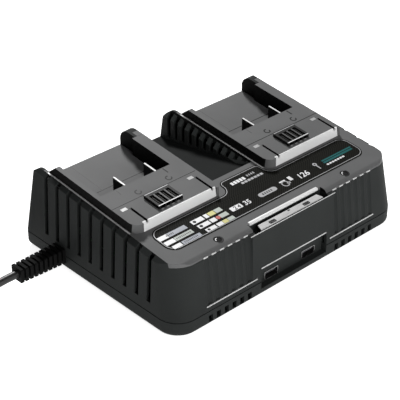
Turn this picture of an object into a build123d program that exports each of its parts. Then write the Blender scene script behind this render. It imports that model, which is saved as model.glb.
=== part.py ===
"""Twin-bay power tool battery charger with two USB outlets and a coiled mains lead.

Millimetres. X runs along the front, -Y is the front (USB) side, +Z is up.
The origin is the centre of the charger's footprint, on the surface it stands on.
Heights called "level" are measured at y = 0 and follow the slope of the deck.
"""

import math
import os

from build123d import *

# ---- Overall body -------------------------------------------------------------
half_width = 120.2           # at the seam between base and housing
half_depth = 88.25           # front and rear, at the seam
base_bottom = 1.0            # the base clears the ground by this much
seam_height = 14.2
base_edge_radius = 4.5       # rounding around the underside
seam_groove = 0.8            # depth and height of the shadow line around the seam
base_corner_radius = 18.0
rear_corner_radius = 5.0
top_front_corner_radius = 25.0
wall = 2.4                   # housing and cover
base_wall = 2.5
joint_gap = 0.1              # between neighbouring mouldings
reach = 200.0                # longer than anything that it has to cut through

deck_slope = 0.10            # rise per mm towards the rear
deck_level = 66.8
platform_rise = 7.5
bay_depth = 15.0             # platform top down to the bay floor
side_draft = 2.9 / 50.2      # side walls lean in by this much per mm of height
front_draft = 5.25 / 37.8
rear_draft = 10.3 / 60.7
bay_rear_draft = 18.7 / 52.0
lobe_radius = 11.0           # rear top rounding of the side walls
bay_rear_radius = 3.0
front_lip_radius = 5.0
loft_top = 90.0
shoulder_width = 3.9
shoulder_drop = 2.4
rim_half_width = 113.4       # outer edge of the cover

# ---- Cover and battery bays ----------------------------------------------------
lip_height = 56.0            # lower edge of the cover at the front
cover_rear = 67.0
module_centre = 67.2         # two bays, side by side
ledge_half = 46.2            # bay centre to the outer edge of its ledges
platform_left = 44.2
platform_right = 37.6
platform_front = -36.2
platform_rear = 7.2
bay_left = 40.0
bay_right = 27.7
platform_corner_radius = 8.0 # front left corner
left_block_rear = 55.0       # at its top; its end slopes down to the deck
left_block_foot = 63.5
right_block_rear = 51.0
lobe_wall = 2.4
nose_rear = 69.0             # the housing carries the right side block on to here
nose_radius = 9.0
nose_inset = 2.6             # its inner face stands back from the bay's wall
fin_thickness = 1.4
fin_length = 13.0
fin_offsets = (-16.8, 13.3)
bar_left = 36.0
bar_right = 35.0
bar_depth = 2.3
bar_draft = 1.1
slot_offset = 31.8
slot_width = 2.0
slot_depth = 2.2
slot_rear = -16.5
window_offsets = (-36.6, 28.0)
window_length = 5.0
window_width = 3.0
window_depth = 1.0
window_place = -15.3

# ---- Label and charge lights -----------------------------------------------------
label_half = 103.0
label_front = -66.5
label_rear = -39.2
label_corner = 9.0
label_tongue_half = 21.0
label_tongue_rear = -25.3
label_tongue_radius = 5.0
label_notch_radius = 8.0
label_thickness = 0.4
led_place = -74.8
led_radius = 3.3
led_flange = 0.4
led_sink = 0.3

# ---- Terminal block in each bay --------------------------------------------------
block_left = 16.5
block_right = 6.7
block_front = -30.5
block_rear = -13.6
block_rise = 2.5
block_flange = 2.0
blade_count = 4
blade_pitch = 5.1
blade_thickness = 0.8
groove_width = 3.4
groove_depth = 5.0
groove_end = 3.4             # closed end at the block's rear
blade_cover = 0.6            # the blade ends this far below the block's top
blade_inset = 1.6

# ---- Valley between the bays -------------------------------------------------------
valley_top_half = 21.0       # between the cover's edges
valley_floor_half = 17.0
valley_shoulder = 4.5        # height of the slanting shoulder under each edge
valley_floor = 58.3          # the floor is a ramp, this high at y = 0
valley_fall = 0.14           # drop per mm towards the rear
valley_front = -20.0
vent_pitch = 8.39
vent_width = 4.4
vent_rise = 2.0              # lower end above the floor
vent_reach = 2.0             # how far the cutting tool starts inside the valley
vent_count = 11
vent_first = -12.0

# ---- Openings in the outer walls ------------------------------------------------------
side_slot_count = 10
side_slot_pitch = 13.14
side_slot_width = 4.2
side_slot_first = -58.4
side_slot_bottom = 22.0
flute_count = 6
flute_pitch = 7.84
flute_first = 47.3
flute_radius = 4.0
flute_depth = 0.8
flute_bottom = 20.0
base_vent_width = 4.0
base_vent_bottom = 3.6
base_vent_top = 10.0

# ---- Front centre: panel, hood and USB outlets ------------------------------------------
panel_half = 45.2
panel_top = 56.2
panel_lean = 2.75
hood_half = 39.0
hood_rear = -75.5
hood_depth = 7.0             # below the deck
plate_half = 33.0
plate_taper = 1.8            # the rear edge is shorter at each end
plate_front = -84.7
plate_rear = -79.3
plate_drop = 1.6             # its top below the deck
plate_thickness = 1.0
recess_half = 35.5
recess_bottom = 7.6
recess_top = 25.0
recess_back = -83.0
recess_wall = 2.0
usb_spacing = 40.2
usb_height = 12.2
usb_front = -83.4
usb_length = 14.0
usb_outer = (14.4, 7.0)
usb_skin = 0.5
usb_tongue = (11.1, 1.84)
usb_tongue_drop = 0.8
usb_tongue_setback = 1.4
usb_clearance = 0.15
usb_board_size = (60.0, 20.0)

# ---- Electronics ------------------------------------------------------------------------
board_size = (176.0, 108.0)
board_centre_y = 12.0
board_bottom = 8.0
board_thickness = 1.6
standoff_radius = 3.0
standoff_inset = 6.0
core_size = (42.0, 20.0, 34.0)
core_centre = (-18.0, 30.0)
core_leg = 6.0
core_window = (9.0, 24.0)
winding_size = (29.0, 32.0)
capacitor_radius = 9.0
capacitor_height = 34.0
capacitor_edge = 0.9
capacitor_places = ((-66.0, 2.0), (-44.0, 2.0), (22.0, 52.0))
choke_radius = 12.0
choke_bore = 5.0
choke_width = 12.0
choke_edge = 3.0
choke_place = (-58.0, 32.0)
sink_places = (26.0, 56.0)
sink_plate = (3.0, 44.0, 28.0)
sink_front = -22.0
sink_fin_length = 12.0
sink_fin_count = 6
sink_fin_thickness = 1.6
fuse_radius = 2.6
fuse_length = 20.0
fuse_place = (-56.0, 56.0)
terminal_size = (12.0, 20.0, 12.0)
terminal_place = -81.0

# ---- Fan ------------------------------------------------------------------------------------
fan_size = 40.0
fan_depth = 12.0
fan_face = 97.5              # x of the frame's inner face
fan_centre_y = 20.0
fan_seat = 11.8
fan_bore_radius = 18.0
fan_tip_gap = 0.8
fan_hub_radius = 9.0
fan_spider = 2.6
fan_shaft_radius = 1.5
fan_shaft_clearance = 0.05
fan_axial_gap = 0.4
fan_blade_count = 7
fan_blade_thickness = 1.2
fan_blade_angle = 35.0
fan_root_share = 0.9         # of the hub's length that the blades take up

# ---- Feet and screws ------------------------------------------------------------------------------
foot_radius = 7.0
foot_recess = 1.2
foot_x = 82.0
foot_y = 66.0
screw_x = 100.0
screw_y = 66.0
screw_radius = 1.5
screw_head_radius = 3.2
screw_head_height = 2.2
screw_length = 22.0
screw_clearance = 0.25
boss_radius = 4.6
boss_floor = 3.0
housing_boss_height = 22.0
rib_thickness = 2.5

# ---- Mains lead --------------------------------------------------------------------------------------
lead_y = 43.6
lead_height = 13.3
cord_radius = 3.2
boot_end = -161.0
boot_fin_count = 9
boot_fin_thickness = 2.5
boot_fin = (13.6, 13.0)
boot_core = (9.6, 9.2)
boot_tip_shrink = 0.9        # the boot's tip relative to its root
boot_collar = 2.2
boot_corner = 1.0
boot_neck = (11.0, 10.6)
boot_flange = 2.5
neck_clearance = 0.1
neck_slack = 0.4             # keeps the flange off the tray's inner rounding
coil_centre = (-193.8, 117.0)
coil_radius = 36.0           # to the middle of the turns
coil_columns = 4
coil_rows = 3
cord_route = (
    (-161.0, 43.6, 13.3),
    (-183.0, 43.6, 13.3),
    (-213.0, 44.8, 5.8),
    (-238.6, 69.0, 3.2),
    (-239.4, 112.0, 3.2),
)
tail_route = (
    (-213.1, 158.3, 16.0),
    (-193.2, 167.6, 14.6),
    (-174.1, 175.0, 12.0),
)
tie_thickness = 0.6
tie_sweep = 14.0
tie_angle = 245.0
plug_boot_length = 24.0
plug_boot_radius = 6.0
plug_body = (37.0, 24.0, 36.0)
plug_neck_corner = 4.8
plug_pin_radius = 2.4
plug_pin_length = 19.0
plug_pin_spacing = 19.0
run_share = 0.45             # how much of a run each arc of the lead may use

# ---- Worked-out values -----------------------------------------------------------------------------------
platform_level = deck_level + platform_rise
floor_level = platform_level - bay_depth
under_cover = deck_level - wall
modules = {"left": -module_centre, "right": module_centre}
usb_places = {"left": -usb_spacing / 2, "right": usb_spacing / 2}
board_top = board_bottom + board_thickness
flute_places = [flute_first + flute_pitch * i for i in range(flute_count)]
deck_plane = Plane(origin=(0, 0, deck_level), x_dir=(1, 0, 0), z_dir=(0, -deck_slope, 1))
# A plane across the front, square to the deck; shapes drawn on it run back along the deck.
run_start = -half_depth - wall
run_length = 2 * half_depth + 2 * wall
run_origin = (0, run_start, deck_level + deck_slope * run_start)
slope_run = Plane(origin=run_origin, x_dir=(1, 0, 0), z_dir=(0, 1, deck_slope))


def export(piece, name):
    """Label a finished piece and write its STEP file."""
    piece.part.label = name
    export_step(piece.part, f"parts/{name}.step")


def on_slope(level, y):
    """The height of a sloping level at a given y."""
    return level + deck_slope * y


def plumb(distance):
    """A distance square to the deck, measured straight down instead."""
    return distance * math.hypot(1, deck_slope)


def sloped_block(x_low, x_high, y_front, y_back, bottom, top, mode=Mode.ADD):
    """A block with upright sides, its bottom and top parallel to the deck."""
    with BuildSketch(Plane.YZ.offset(x_low)) as profile:
        Polygon(
            (y_front, on_slope(bottom, y_front)),
            (y_back, on_slope(bottom, y_back)),
            (y_back, on_slope(top, y_back)),
            (y_front, on_slope(top, y_front)),
            align=None,
        )
    extrude(profile.sketch, amount=x_high - x_low, mode=mode)


def level_box(low, high, mode=Mode.ADD):
    """A box between two corners."""
    with BuildSketch(Plane.XY.offset(low[2])) as profile:
        with Locations(((low[0] + high[0]) / 2, (low[1] + high[1]) / 2)):
            Rectangle(high[0] - low[0], high[1] - low[1])
    extrude(profile.sketch, amount=high[2] - low[2], mode=mode)


def plan_outline(x_half, y_front, y_rear, front_radius, rear_radius):
    """The body's outline from above: large front corners and small rear ones."""
    with Locations((0, (y_front + y_rear) / 2)):
        Rectangle(2 * x_half, y_rear - y_front)
    fillet(vertices().group_by(Axis.Y)[0], front_radius)
    fillet(vertices().group_by(Axis.Y)[-1], rear_radius)


def side_outline(level, rear_lean, rear_radius, inset=0.0):
    """The body's outline from the side, drawn as y and z; inset moves it inwards."""
    top = level - inset
    front_foot = -half_depth + inset
    rear_foot = half_depth - inset
    # Both upright lines meet the sloping top line.
    front_corner_z = (top + deck_slope * (front_foot - front_draft * seam_height)) / (
        1 - deck_slope * front_draft
    )
    front_corner_y = front_foot + front_draft * (front_corner_z - seam_height)
    rear_corner_z = (top + deck_slope * (rear_foot + rear_lean * seam_height)) / (
        1 + deck_slope * rear_lean
    )
    rear_corner_y = rear_foot - rear_lean * (rear_corner_z - seam_height)
    Polygon(
        (front_foot, seam_height),
        (front_corner_y, front_corner_z),
        (rear_corner_y, rear_corner_z),
        (rear_foot, seam_height),
        align=None,
    )
    fillet(vertices().sort_by(Axis.Y)[-1], rear_radius - inset)
    fillet(vertices().sort_by(Axis.X)[1], front_lip_radius - inset)


def body_envelope(inset=0.0):
    """The housing and cover as one solid above the seam; inset gives their inner face."""
    rise = loft_top - seam_height
    with BuildPart() as envelope:
        with BuildSketch(Plane.XY.offset(seam_height)):
            plan_outline(
                half_width - inset,
                -half_depth + inset,
                half_depth - inset,
                base_corner_radius - inset,
                rear_corner_radius - inset,
            )
        with BuildSketch(Plane.XY.offset(loft_top)):
            plan_outline(
                half_width - side_draft * rise - inset,
                -half_depth + front_draft * rise + inset,
                half_depth - rear_draft * rise - inset,
                top_front_corner_radius - inset,
                rear_corner_radius - inset,
            )
        loft(ruled=True)
        with BuildSketch(Plane.YZ):
            side_outline(deck_level, rear_draft, lobe_radius, inset)
        extrude(amount=reach, both=True, mode=Mode.INTERSECT)
    return envelope.part


def left_side_block(x_low, x_high):
    """The narrow block left of a bay; its rear end slopes down to the deck."""
    with BuildSketch(Plane.YZ.offset(x_low)) as profile:
        Polygon(
            (0, under_cover),
            (left_block_foot, on_slope(under_cover, left_block_foot)),
            (left_block_foot, on_slope(deck_level, left_block_foot)),
            (left_block_rear, on_slope(platform_level, left_block_rear)),
            (0, platform_level),
            align=None,
        )
    extrude(profile.sketch, amount=x_high - x_low)


def platform_shape(centre, inset, mode):
    """The raised platform of one bay with its two side blocks; inset shrinks it for the hollow inside."""
    bottom = under_cover - inset
    top = platform_level - inset
    left = centre - platform_left + inset
    right = centre + platform_right - inset
    front = platform_front + (bar_depth + inset if inset else 0)
    sloped_block(left, right, front, platform_rear - inset, bottom, top, mode)
    sloped_block(centre + bay_right + inset, right, 0, right_block_rear - inset, bottom, top, mode)
    if not inset:
        left_side_block(left, centre - bay_left)


def bay_tub(centre):
    """The sunken floor of one bay with the walls around it."""
    tub_bottom = floor_level - wall
    sloped_block(
        centre - bay_left - wall, centre + bay_right + wall,
        platform_rear - wall, cover_rear, tub_bottom, deck_level,
    )
    sloped_block(
        centre - ledge_half, centre - bay_left, left_block_foot - wall, cover_rear, tub_bottom, deck_level
    )
    sloped_block(
        centre + bay_right, centre + ledge_half, right_block_rear - wall, cover_rear, tub_bottom, deck_level
    )


def bay_hollow(centre):
    """Empties one bay above its floor; behind the side blocks it widens to the thin side walls."""
    sky = platform_level + bay_depth
    lobe_half = ledge_half - lobe_wall
    sloped_block(
        centre - bay_left, centre + bay_right, platform_rear, reach, floor_level, sky, Mode.SUBTRACT
    )
    sloped_block(
        centre - lobe_half, centre - bay_left, left_block_foot, reach, floor_level, sky, Mode.SUBTRACT
    )
    sloped_block(
        centre + bay_right, centre + lobe_half, right_block_rear, reach, floor_level, sky, Mode.SUBTRACT
    )


def valley_ramp(y):
    """The height of the valley's floor at a given y."""
    return valley_floor - valley_fall * y


def valley_space(margin):
    """The space between the bays above its ramp, open to the top and the rear; margin widens it all round."""
    edge_drop = wall / plumb(1)
    front = valley_front - margin
    with BuildPart() as space:
        with BuildSketch(slope_run):
            Polygon(
                (0, -reach),
                (valley_top_half + margin, -reach),
                (valley_top_half + margin, edge_drop),
                (valley_floor_half + margin, edge_drop + valley_shoulder),
                (valley_floor_half + margin, reach),
                (0, reach),
                align=None,
            )
            mirror(about=Plane.YZ)
        extrude(amount=run_length)
        with BuildSketch(Plane.YZ):
            Polygon(
                (front, valley_ramp(front) - margin),
                (reach, valley_ramp(reach) - margin),
                (reach, reach),
                (front, reach),
                align=None,
            )
        extrude(amount=reach, both=True, mode=Mode.INTERSECT)
    return space.part


def bay_nose(centre):
    """The rounded rear of the right side block: a hollow nose of the housing over the bay floor."""
    low_x = centre + bay_right + nose_inset
    front = right_block_rear + joint_gap
    foot = cover_rear + joint_gap
    with BuildPart() as nose:
        with BuildSketch(Plane.YZ.offset(low_x)):
            Polygon(
                (front, on_slope(floor_level + joint_gap, front)),
                (foot, on_slope(floor_level + joint_gap, foot)),
                (foot, on_slope(floor_level - wall, foot)),
                (nose_rear, on_slope(floor_level - wall, nose_rear)),
                (nose_rear, on_slope(platform_level, nose_rear)),
                (front, on_slope(platform_level, front)),
                align=None,
            )
            fillet(vertices().group_by(Axis.X)[-1].sort_by(Axis.Y)[-1], nose_radius)
        extrude(amount=platform_right - bay_right - nose_inset)
        sloped_block(
            low_x + wall, centre + platform_right - wall, front + wall, nose_rear - wall,
            floor_level - 2 * wall, platform_level - wall - nose_radius / 2, Mode.SUBTRACT,
        )
    return nose.part


def oblong(centre, size, radius):
    """A rounded rectangle in the current sketch."""
    with Locations(centre):
        RectangleRounded(size[0], size[1], radius)


def usb_openings(gap, depth_front, depth_rear):
    """Cuts a passage for each USB socket through a wall between two y positions."""
    for x in usb_places.values():
        level_box(
            (x - usb_outer[0] / 2 - gap, depth_front, usb_height - usb_outer[1] / 2 - gap),
            (x + usb_outer[0] / 2 + gap, depth_rear, usb_height + usb_outer[1] / 2 + gap),
            Mode.SUBTRACT,
        )


def lead_opening(gap):
    """Cuts the square passage for the strain relief's neck through the left wall."""
    level_box(
        (-half_width - wall, lead_y - boot_neck[0] / 2 - gap, lead_height - boot_neck[1] / 2 - gap),
        (-half_width + 2 * wall, lead_y + boot_neck[0] / 2 + gap, lead_height + boot_neck[1] / 2 + gap),
        Mode.SUBTRACT,
    )


def route_arcs(points):
    """The largest arc radius for each corner of a route, and the turn there in degrees."""
    vectors = [Vector(*point) for point in points]
    radii = []
    turns = []
    for before, corner, after in zip(vectors, vectors[1:], vectors[2:]):
        turn = (corner - before).get_angle(after - corner)
        run = min((corner - before).length, (after - corner).length)
        radii.append(run_share * run / math.tan(math.radians(turn / 2)))
        turns.append(turn)
    return radii, turns


def lead_tube(route, name):
    """A round tube along straight runs joined by tangent arcs; prints its radii and checks its volume."""
    radii, turns = route_arcs(route)
    with BuildPart() as tube:
        with BuildLine():
            path = FilletPolyline(*route, radius=radii)
        with BuildSketch(Plane(origin=path @ 0, z_dir=path % 0)):
            Circle(cord_radius)
        sweep()
    expected = math.pi * cord_radius**2 * path.length
    print(name, "radii", [round(r, 1) for r in radii], "turns", [round(t, 1) for t in turns])
    print(name, "length", round(path.length, 1), "volume ratio", round(tube.part.volume / expected, 4))
    return tube


os.makedirs("parts", exist_ok=True)

# ==== Base tray ===================================================================
# A shallow tray with rounded lower edges; its front upstand closes the USB recess.
with BuildPart() as base_tray:
    with BuildSketch(Plane.XY.offset(base_bottom)):
        plan_outline(half_width, -half_depth, half_depth, base_corner_radius, rear_corner_radius)
    extrude(amount=seam_height - base_bottom)
    fillet(faces().sort_by(Axis.Z)[0].edges(), base_edge_radius)
    offset(amount=-base_wall, openings=faces().sort_by(Axis.Z)[-1])
    tray_floor = base_bottom + base_wall
    # Shadow line around the seam with the housing.
    with BuildSketch(Plane.XY.offset(seam_height - seam_groove)):
        Rectangle(2 * reach, 2 * reach)
        with BuildSketch(Plane.XY, mode=Mode.PRIVATE) as tray_neck:
            plan_outline(
                half_width - seam_groove,
                -half_depth + seam_groove,
                half_depth - seam_groove,
                base_corner_radius - seam_groove,
                rear_corner_radius - seam_groove,
            )
        add(tray_neck.sketch, mode=Mode.SUBTRACT)
    extrude(amount=seam_groove, mode=Mode.SUBTRACT)
    # Recess in the front for the USB outlets, and the upstand behind it.
    level_box(
        (-recess_half - recess_wall, recess_back, base_bottom + base_wall / 2),
        (recess_half + recess_wall, recess_back + recess_wall, recess_top - joint_gap),
    )
    level_box(
        (-recess_half - recess_wall, -half_depth + base_wall / 2, recess_bottom - recess_wall),
        (recess_half + recess_wall, recess_back + recess_wall, seam_height),
    )
    level_box(
        (-recess_half, -half_depth - base_wall, recess_bottom),
        (recess_half, recess_back, recess_top),
        Mode.SUBTRACT,
    )
    usb_openings(usb_clearance, recess_back - recess_wall, recess_back + 2 * recess_wall)
    # Six air vents in the front on each side of the USB recess.
    for side in (-1, 1):
        for place in flute_places:
            level_box(
                (side * place - base_vent_width / 2, -half_depth - base_wall, base_vent_bottom),
                (side * place + base_vent_width / 2, -half_depth + 3 * base_wall, base_vent_top),
                Mode.SUBTRACT,
            )
    # Posts that carry the main board, the outlet board and the fan.
    board_posts = (board_size[0] - 2 * standoff_inset, board_size[1] - 2 * standoff_inset)
    with BuildSketch(Plane.XY.offset(tray_floor)):
        with Locations((0, board_centre_y)):
            with GridLocations(board_posts[0], board_posts[1], 2, 2):
                Circle(standoff_radius)
    extrude(amount=board_bottom - tray_floor)
    outlet_board_bottom = usb_height - usb_outer[1] / 2 - board_thickness
    outlet_board_y = recess_back + recess_wall + joint_gap + usb_board_size[1] / 2
    with BuildSketch(Plane.XY.offset(tray_floor)):
        with Locations((0, outlet_board_y)):
            with GridLocations(usb_board_size[0] / 2, 1, 2, 1):
                Circle(standoff_radius)
    extrude(amount=outlet_board_bottom - tray_floor)
    with BuildSketch(Plane.XY.offset(tray_floor)):
        with Locations((fan_face + fan_depth / 2, fan_centre_y)):
            with GridLocations(1, fan_size - 2 * rib_thickness, 1, 2):
                Rectangle(fan_depth, 2 * rib_thickness)
    extrude(amount=fan_seat - tray_floor)
    # Screw bosses with sunk heads, and pockets for the feet.
    with BuildSketch(Plane.XY.offset(tray_floor)):
        with GridLocations(2 * screw_x, 2 * screw_y, 2, 2):
            Circle(boss_radius)
    extrude(amount=seam_height - tray_floor)
    with BuildSketch(Plane.XY.offset(base_bottom)):
        with GridLocations(2 * screw_x, 2 * screw_y, 2, 2):
            Circle(screw_radius + screw_clearance)
    extrude(amount=seam_height, mode=Mode.SUBTRACT)
    with BuildSketch(Plane.XY.offset(base_bottom)):
        with GridLocations(2 * screw_x, 2 * screw_y, 2, 2):
            Circle(screw_head_radius + screw_clearance)
    extrude(amount=boss_floor, mode=Mode.SUBTRACT)
    with BuildSketch(Plane.XY.offset(base_bottom)):
        with GridLocations(2 * foot_x, 2 * foot_y, 2, 2):
            Circle(foot_radius)
    extrude(amount=foot_recess, mode=Mode.SUBTRACT)
    lead_opening(neck_clearance)
export(base_tray, "base_tray")

# ==== Housing =====================================================================
outer_envelope = body_envelope()
inner_envelope = body_envelope(wall)

with BuildPart() as shoulder_cut:
    # Everything outside the chamfers that run along both top edges.
    far_x = half_width + shoulder_width
    far_drop = (far_x - rim_half_width) * shoulder_drop / shoulder_width
    with BuildSketch(slope_run):
        Polygon(
            (rim_half_width, 0),
            (far_x, far_drop),
            (far_x, -platform_rise),
            (rim_half_width, -platform_rise),
            align=None,
        )
        mirror(about=Plane.YZ)
    extrude(amount=run_length)

with BuildPart() as bay_rear_skin:
    # The rounded rear end of each bay, between its side walls, down to the seam.
    for centre in modules.values():
        with BuildSketch(Plane.YZ.offset(centre - ledge_half)):
            side_outline(floor_level, bay_rear_draft, bay_rear_radius)
        extrude(amount=2 * ledge_half)
        with BuildSketch(Plane.YZ.offset(centre - ledge_half)):
            side_outline(floor_level, bay_rear_draft, bay_rear_radius, wall)
        extrude(amount=2 * ledge_half, mode=Mode.SUBTRACT)
    level_box((-reach, -reach, 0), (reach, cover_rear, reach), Mode.SUBTRACT)

with BuildPart() as lobe_plates:
    # Upright plates that close the rounded rear end of each bay's side walls.
    for centre in modules.values():
        for plate_x in (centre - ledge_half, centre + ledge_half - lobe_wall):
            with BuildSketch(Plane.YZ.offset(plate_x)):
                side_outline(deck_level, rear_draft, lobe_radius)
            extrude(amount=lobe_wall)
    for centre in modules.values():
        with BuildSketch(Plane.YZ.offset(centre - ledge_half)):
            side_outline(floor_level, bay_rear_draft, bay_rear_radius, wall)
        extrude(amount=2 * ledge_half, mode=Mode.SUBTRACT)
    level_box((-reach, -reach, 0), (reach, cover_rear, reach), Mode.SUBTRACT)

with BuildPart() as housing:
    add(outer_envelope)
    add(inner_envelope, mode=Mode.SUBTRACT)
    # Rails inside both side walls, under the edges of the cover.
    for side in (-1, 1):
        rail_edges = sorted((side * (rim_half_width - wall), side * (half_width - 2 * wall)))
        sloped_block(
            rail_edges[0], rail_edges[1], -half_depth / 2, right_block_rear - 2 * wall,
            under_cover - 2 * wall, under_cover,
        )
    # The rear of each bay is lower than its side walls and rounded.
    lobe_half = ledge_half - lobe_wall
    for centre in modules.values():
        level_box(
            (centre - lobe_half, half_depth / 2, seam_height),
            (centre + lobe_half, reach, reach),
            Mode.SUBTRACT,
        )
    add(bay_rear_skin)
    add(lobe_plates)
    # The valley, open to the rear: a trough with walls and floor of one thickness.
    with BuildPart(mode=Mode.PRIVATE) as valley_trough:
        add(valley_space(wall))
        add(outer_envelope, mode=Mode.INTERSECT)
    add(valley_trough)
    add(valley_space(0), mode=Mode.SUBTRACT)
    # The protruding smooth panel in the middle of the front.
    panel_back = -half_depth + front_draft * (panel_top - seam_height) + wall
    with BuildSketch(Plane.YZ.offset(-panel_half)):
        Polygon(
            (-half_depth, seam_height),
            (-half_depth + panel_lean, panel_top),
            (panel_back, panel_top),
            (-half_depth + wall, seam_height),
            align=None,
        )
    extrude(amount=2 * panel_half)
    # A trough behind the panel's top edge, with a ledge for the icon plate.
    trough_level = deck_level - hood_depth
    sloped_block(
        -hood_half - wall, hood_half + wall, panel_back - wall, hood_rear + wall,
        trough_level - wall, under_cover,
    )
    # The cover's place, and the openings above and behind it.
    add(shoulder_cut, mode=Mode.SUBTRACT)
    corner_rear = -half_depth + top_front_corner_radius
    level_box((-rim_half_width, -reach, lip_height), (-panel_half, corner_rear, reach), Mode.SUBTRACT)
    level_box((panel_half, -reach, lip_height), (rim_half_width, corner_rear, reach), Mode.SUBTRACT)
    level_box((-panel_half, -reach, panel_top), (panel_half, panel_back, reach), Mode.SUBTRACT)
    sloped_block(-rim_half_width, rim_half_width, -reach, cover_rear, under_cover, reach, Mode.SUBTRACT)
    sloped_block(
        -hood_half, hood_half, plate_front - joint_gap, hood_rear, trough_level, reach, Mode.SUBTRACT
    )
    sloped_block(
        plate_taper - plate_half, plate_half - plate_taper, plate_front - 2 * joint_gap, plate_rear,
        trough_level - wall, deck_level - plumb(plate_drop + plate_thickness),
    )
    for side in (-1, 1):
        skirt_edges = sorted((side * hood_half, side * panel_half))
        level_box(
            (skirt_edges[0], -reach, panel_top),
            (skirt_edges[1], panel_back + front_lip_radius, reach),
            Mode.SUBTRACT,
        )
    # Room for the rear ends of the cover's tubs inside the side walls.
    tub_bottom = floor_level - wall - joint_gap
    for centre in modules.values():
        sloped_block(
            centre - ledge_half - joint_gap, centre - bay_left, left_block_foot - wall - joint_gap,
            cover_rear, tub_bottom, reach, Mode.SUBTRACT,
        )
        sloped_block(
            centre + bay_right, centre + ledge_half + joint_gap, right_block_rear - wall - joint_gap,
            cover_rear, tub_bottom, reach, Mode.SUBTRACT,
        )
    # Ten slots through each side wall, up through the shoulder to the cover's edge.
    for side in (-1, 1):
        slot_edges = sorted((side * rim_half_width, side * reach))
        for i in range(side_slot_count):
            slot_y = side_slot_first + side_slot_pitch * i
            level_box(
                (slot_edges[0], slot_y - side_slot_width / 2, side_slot_bottom),
                (slot_edges[1], slot_y + side_slot_width / 2, reach),
                Mode.SUBTRACT,
            )
    # Air vents along both walls of the valley, up through the shoulder to the cover's edge.
    for side in (-1, 1):
        vent_edges = sorted((side * (valley_floor_half - vent_reach), side * valley_top_half))
        for i in range(vent_count):
            vent_y = vent_first + vent_pitch * i
            level_box(
                (vent_edges[0], vent_y - vent_width / 2, valley_ramp(vent_y) + vent_rise),
                (vent_edges[1], vent_y + vent_width / 2, reach),
                Mode.SUBTRACT,
            )
    for centre in modules.values():
        add(bay_nose(centre))
    # Shallow flutes in the front wall on each side of the centre panel.
    flute_start = -half_depth + front_draft * (flute_bottom - seam_height) - flute_radius + flute_depth
    flute_origin = (0, flute_start, flute_bottom)
    with BuildSketch(Plane(origin=flute_origin, x_dir=(1, 0, 0), z_dir=(0, front_draft, 1))):
        with Locations(*[(side * place, 0) for side in (-1, 1) for place in flute_places]):
            Circle(flute_radius)
    extrude(amount=lip_height, mode=Mode.SUBTRACT)
    # The USB recess, and the slot for the base's upstand behind it.
    level_box((-recess_half, -reach, 0), (recess_half, recess_back, recess_top), Mode.SUBTRACT)
    upstand_half = recess_half + recess_wall + joint_gap
    level_box(
        (-upstand_half, recess_back - joint_gap, 0),
        (upstand_half, recess_back + recess_wall + joint_gap, recess_top),
        Mode.SUBTRACT,
    )
    # Screw bosses with ribs to the side walls.
    with BuildSketch(Plane.XY.offset(seam_height)):
        with GridLocations(2 * screw_x, 2 * screw_y, 2, 2):
            Circle(boss_radius)
        with GridLocations(half_width + screw_x - wall, 2 * screw_y, 2, 2):
            Rectangle(half_width - screw_x, rib_thickness)
    extrude(amount=housing_boss_height)
    with BuildSketch(Plane.XY.offset(seam_height)):
        with GridLocations(2 * screw_x, 2 * screw_y, 2, 2):
            Circle(screw_radius)
    extrude(amount=screw_length, mode=Mode.SUBTRACT)
    lead_opening(neck_clearance)
export(housing, "housing")

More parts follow.
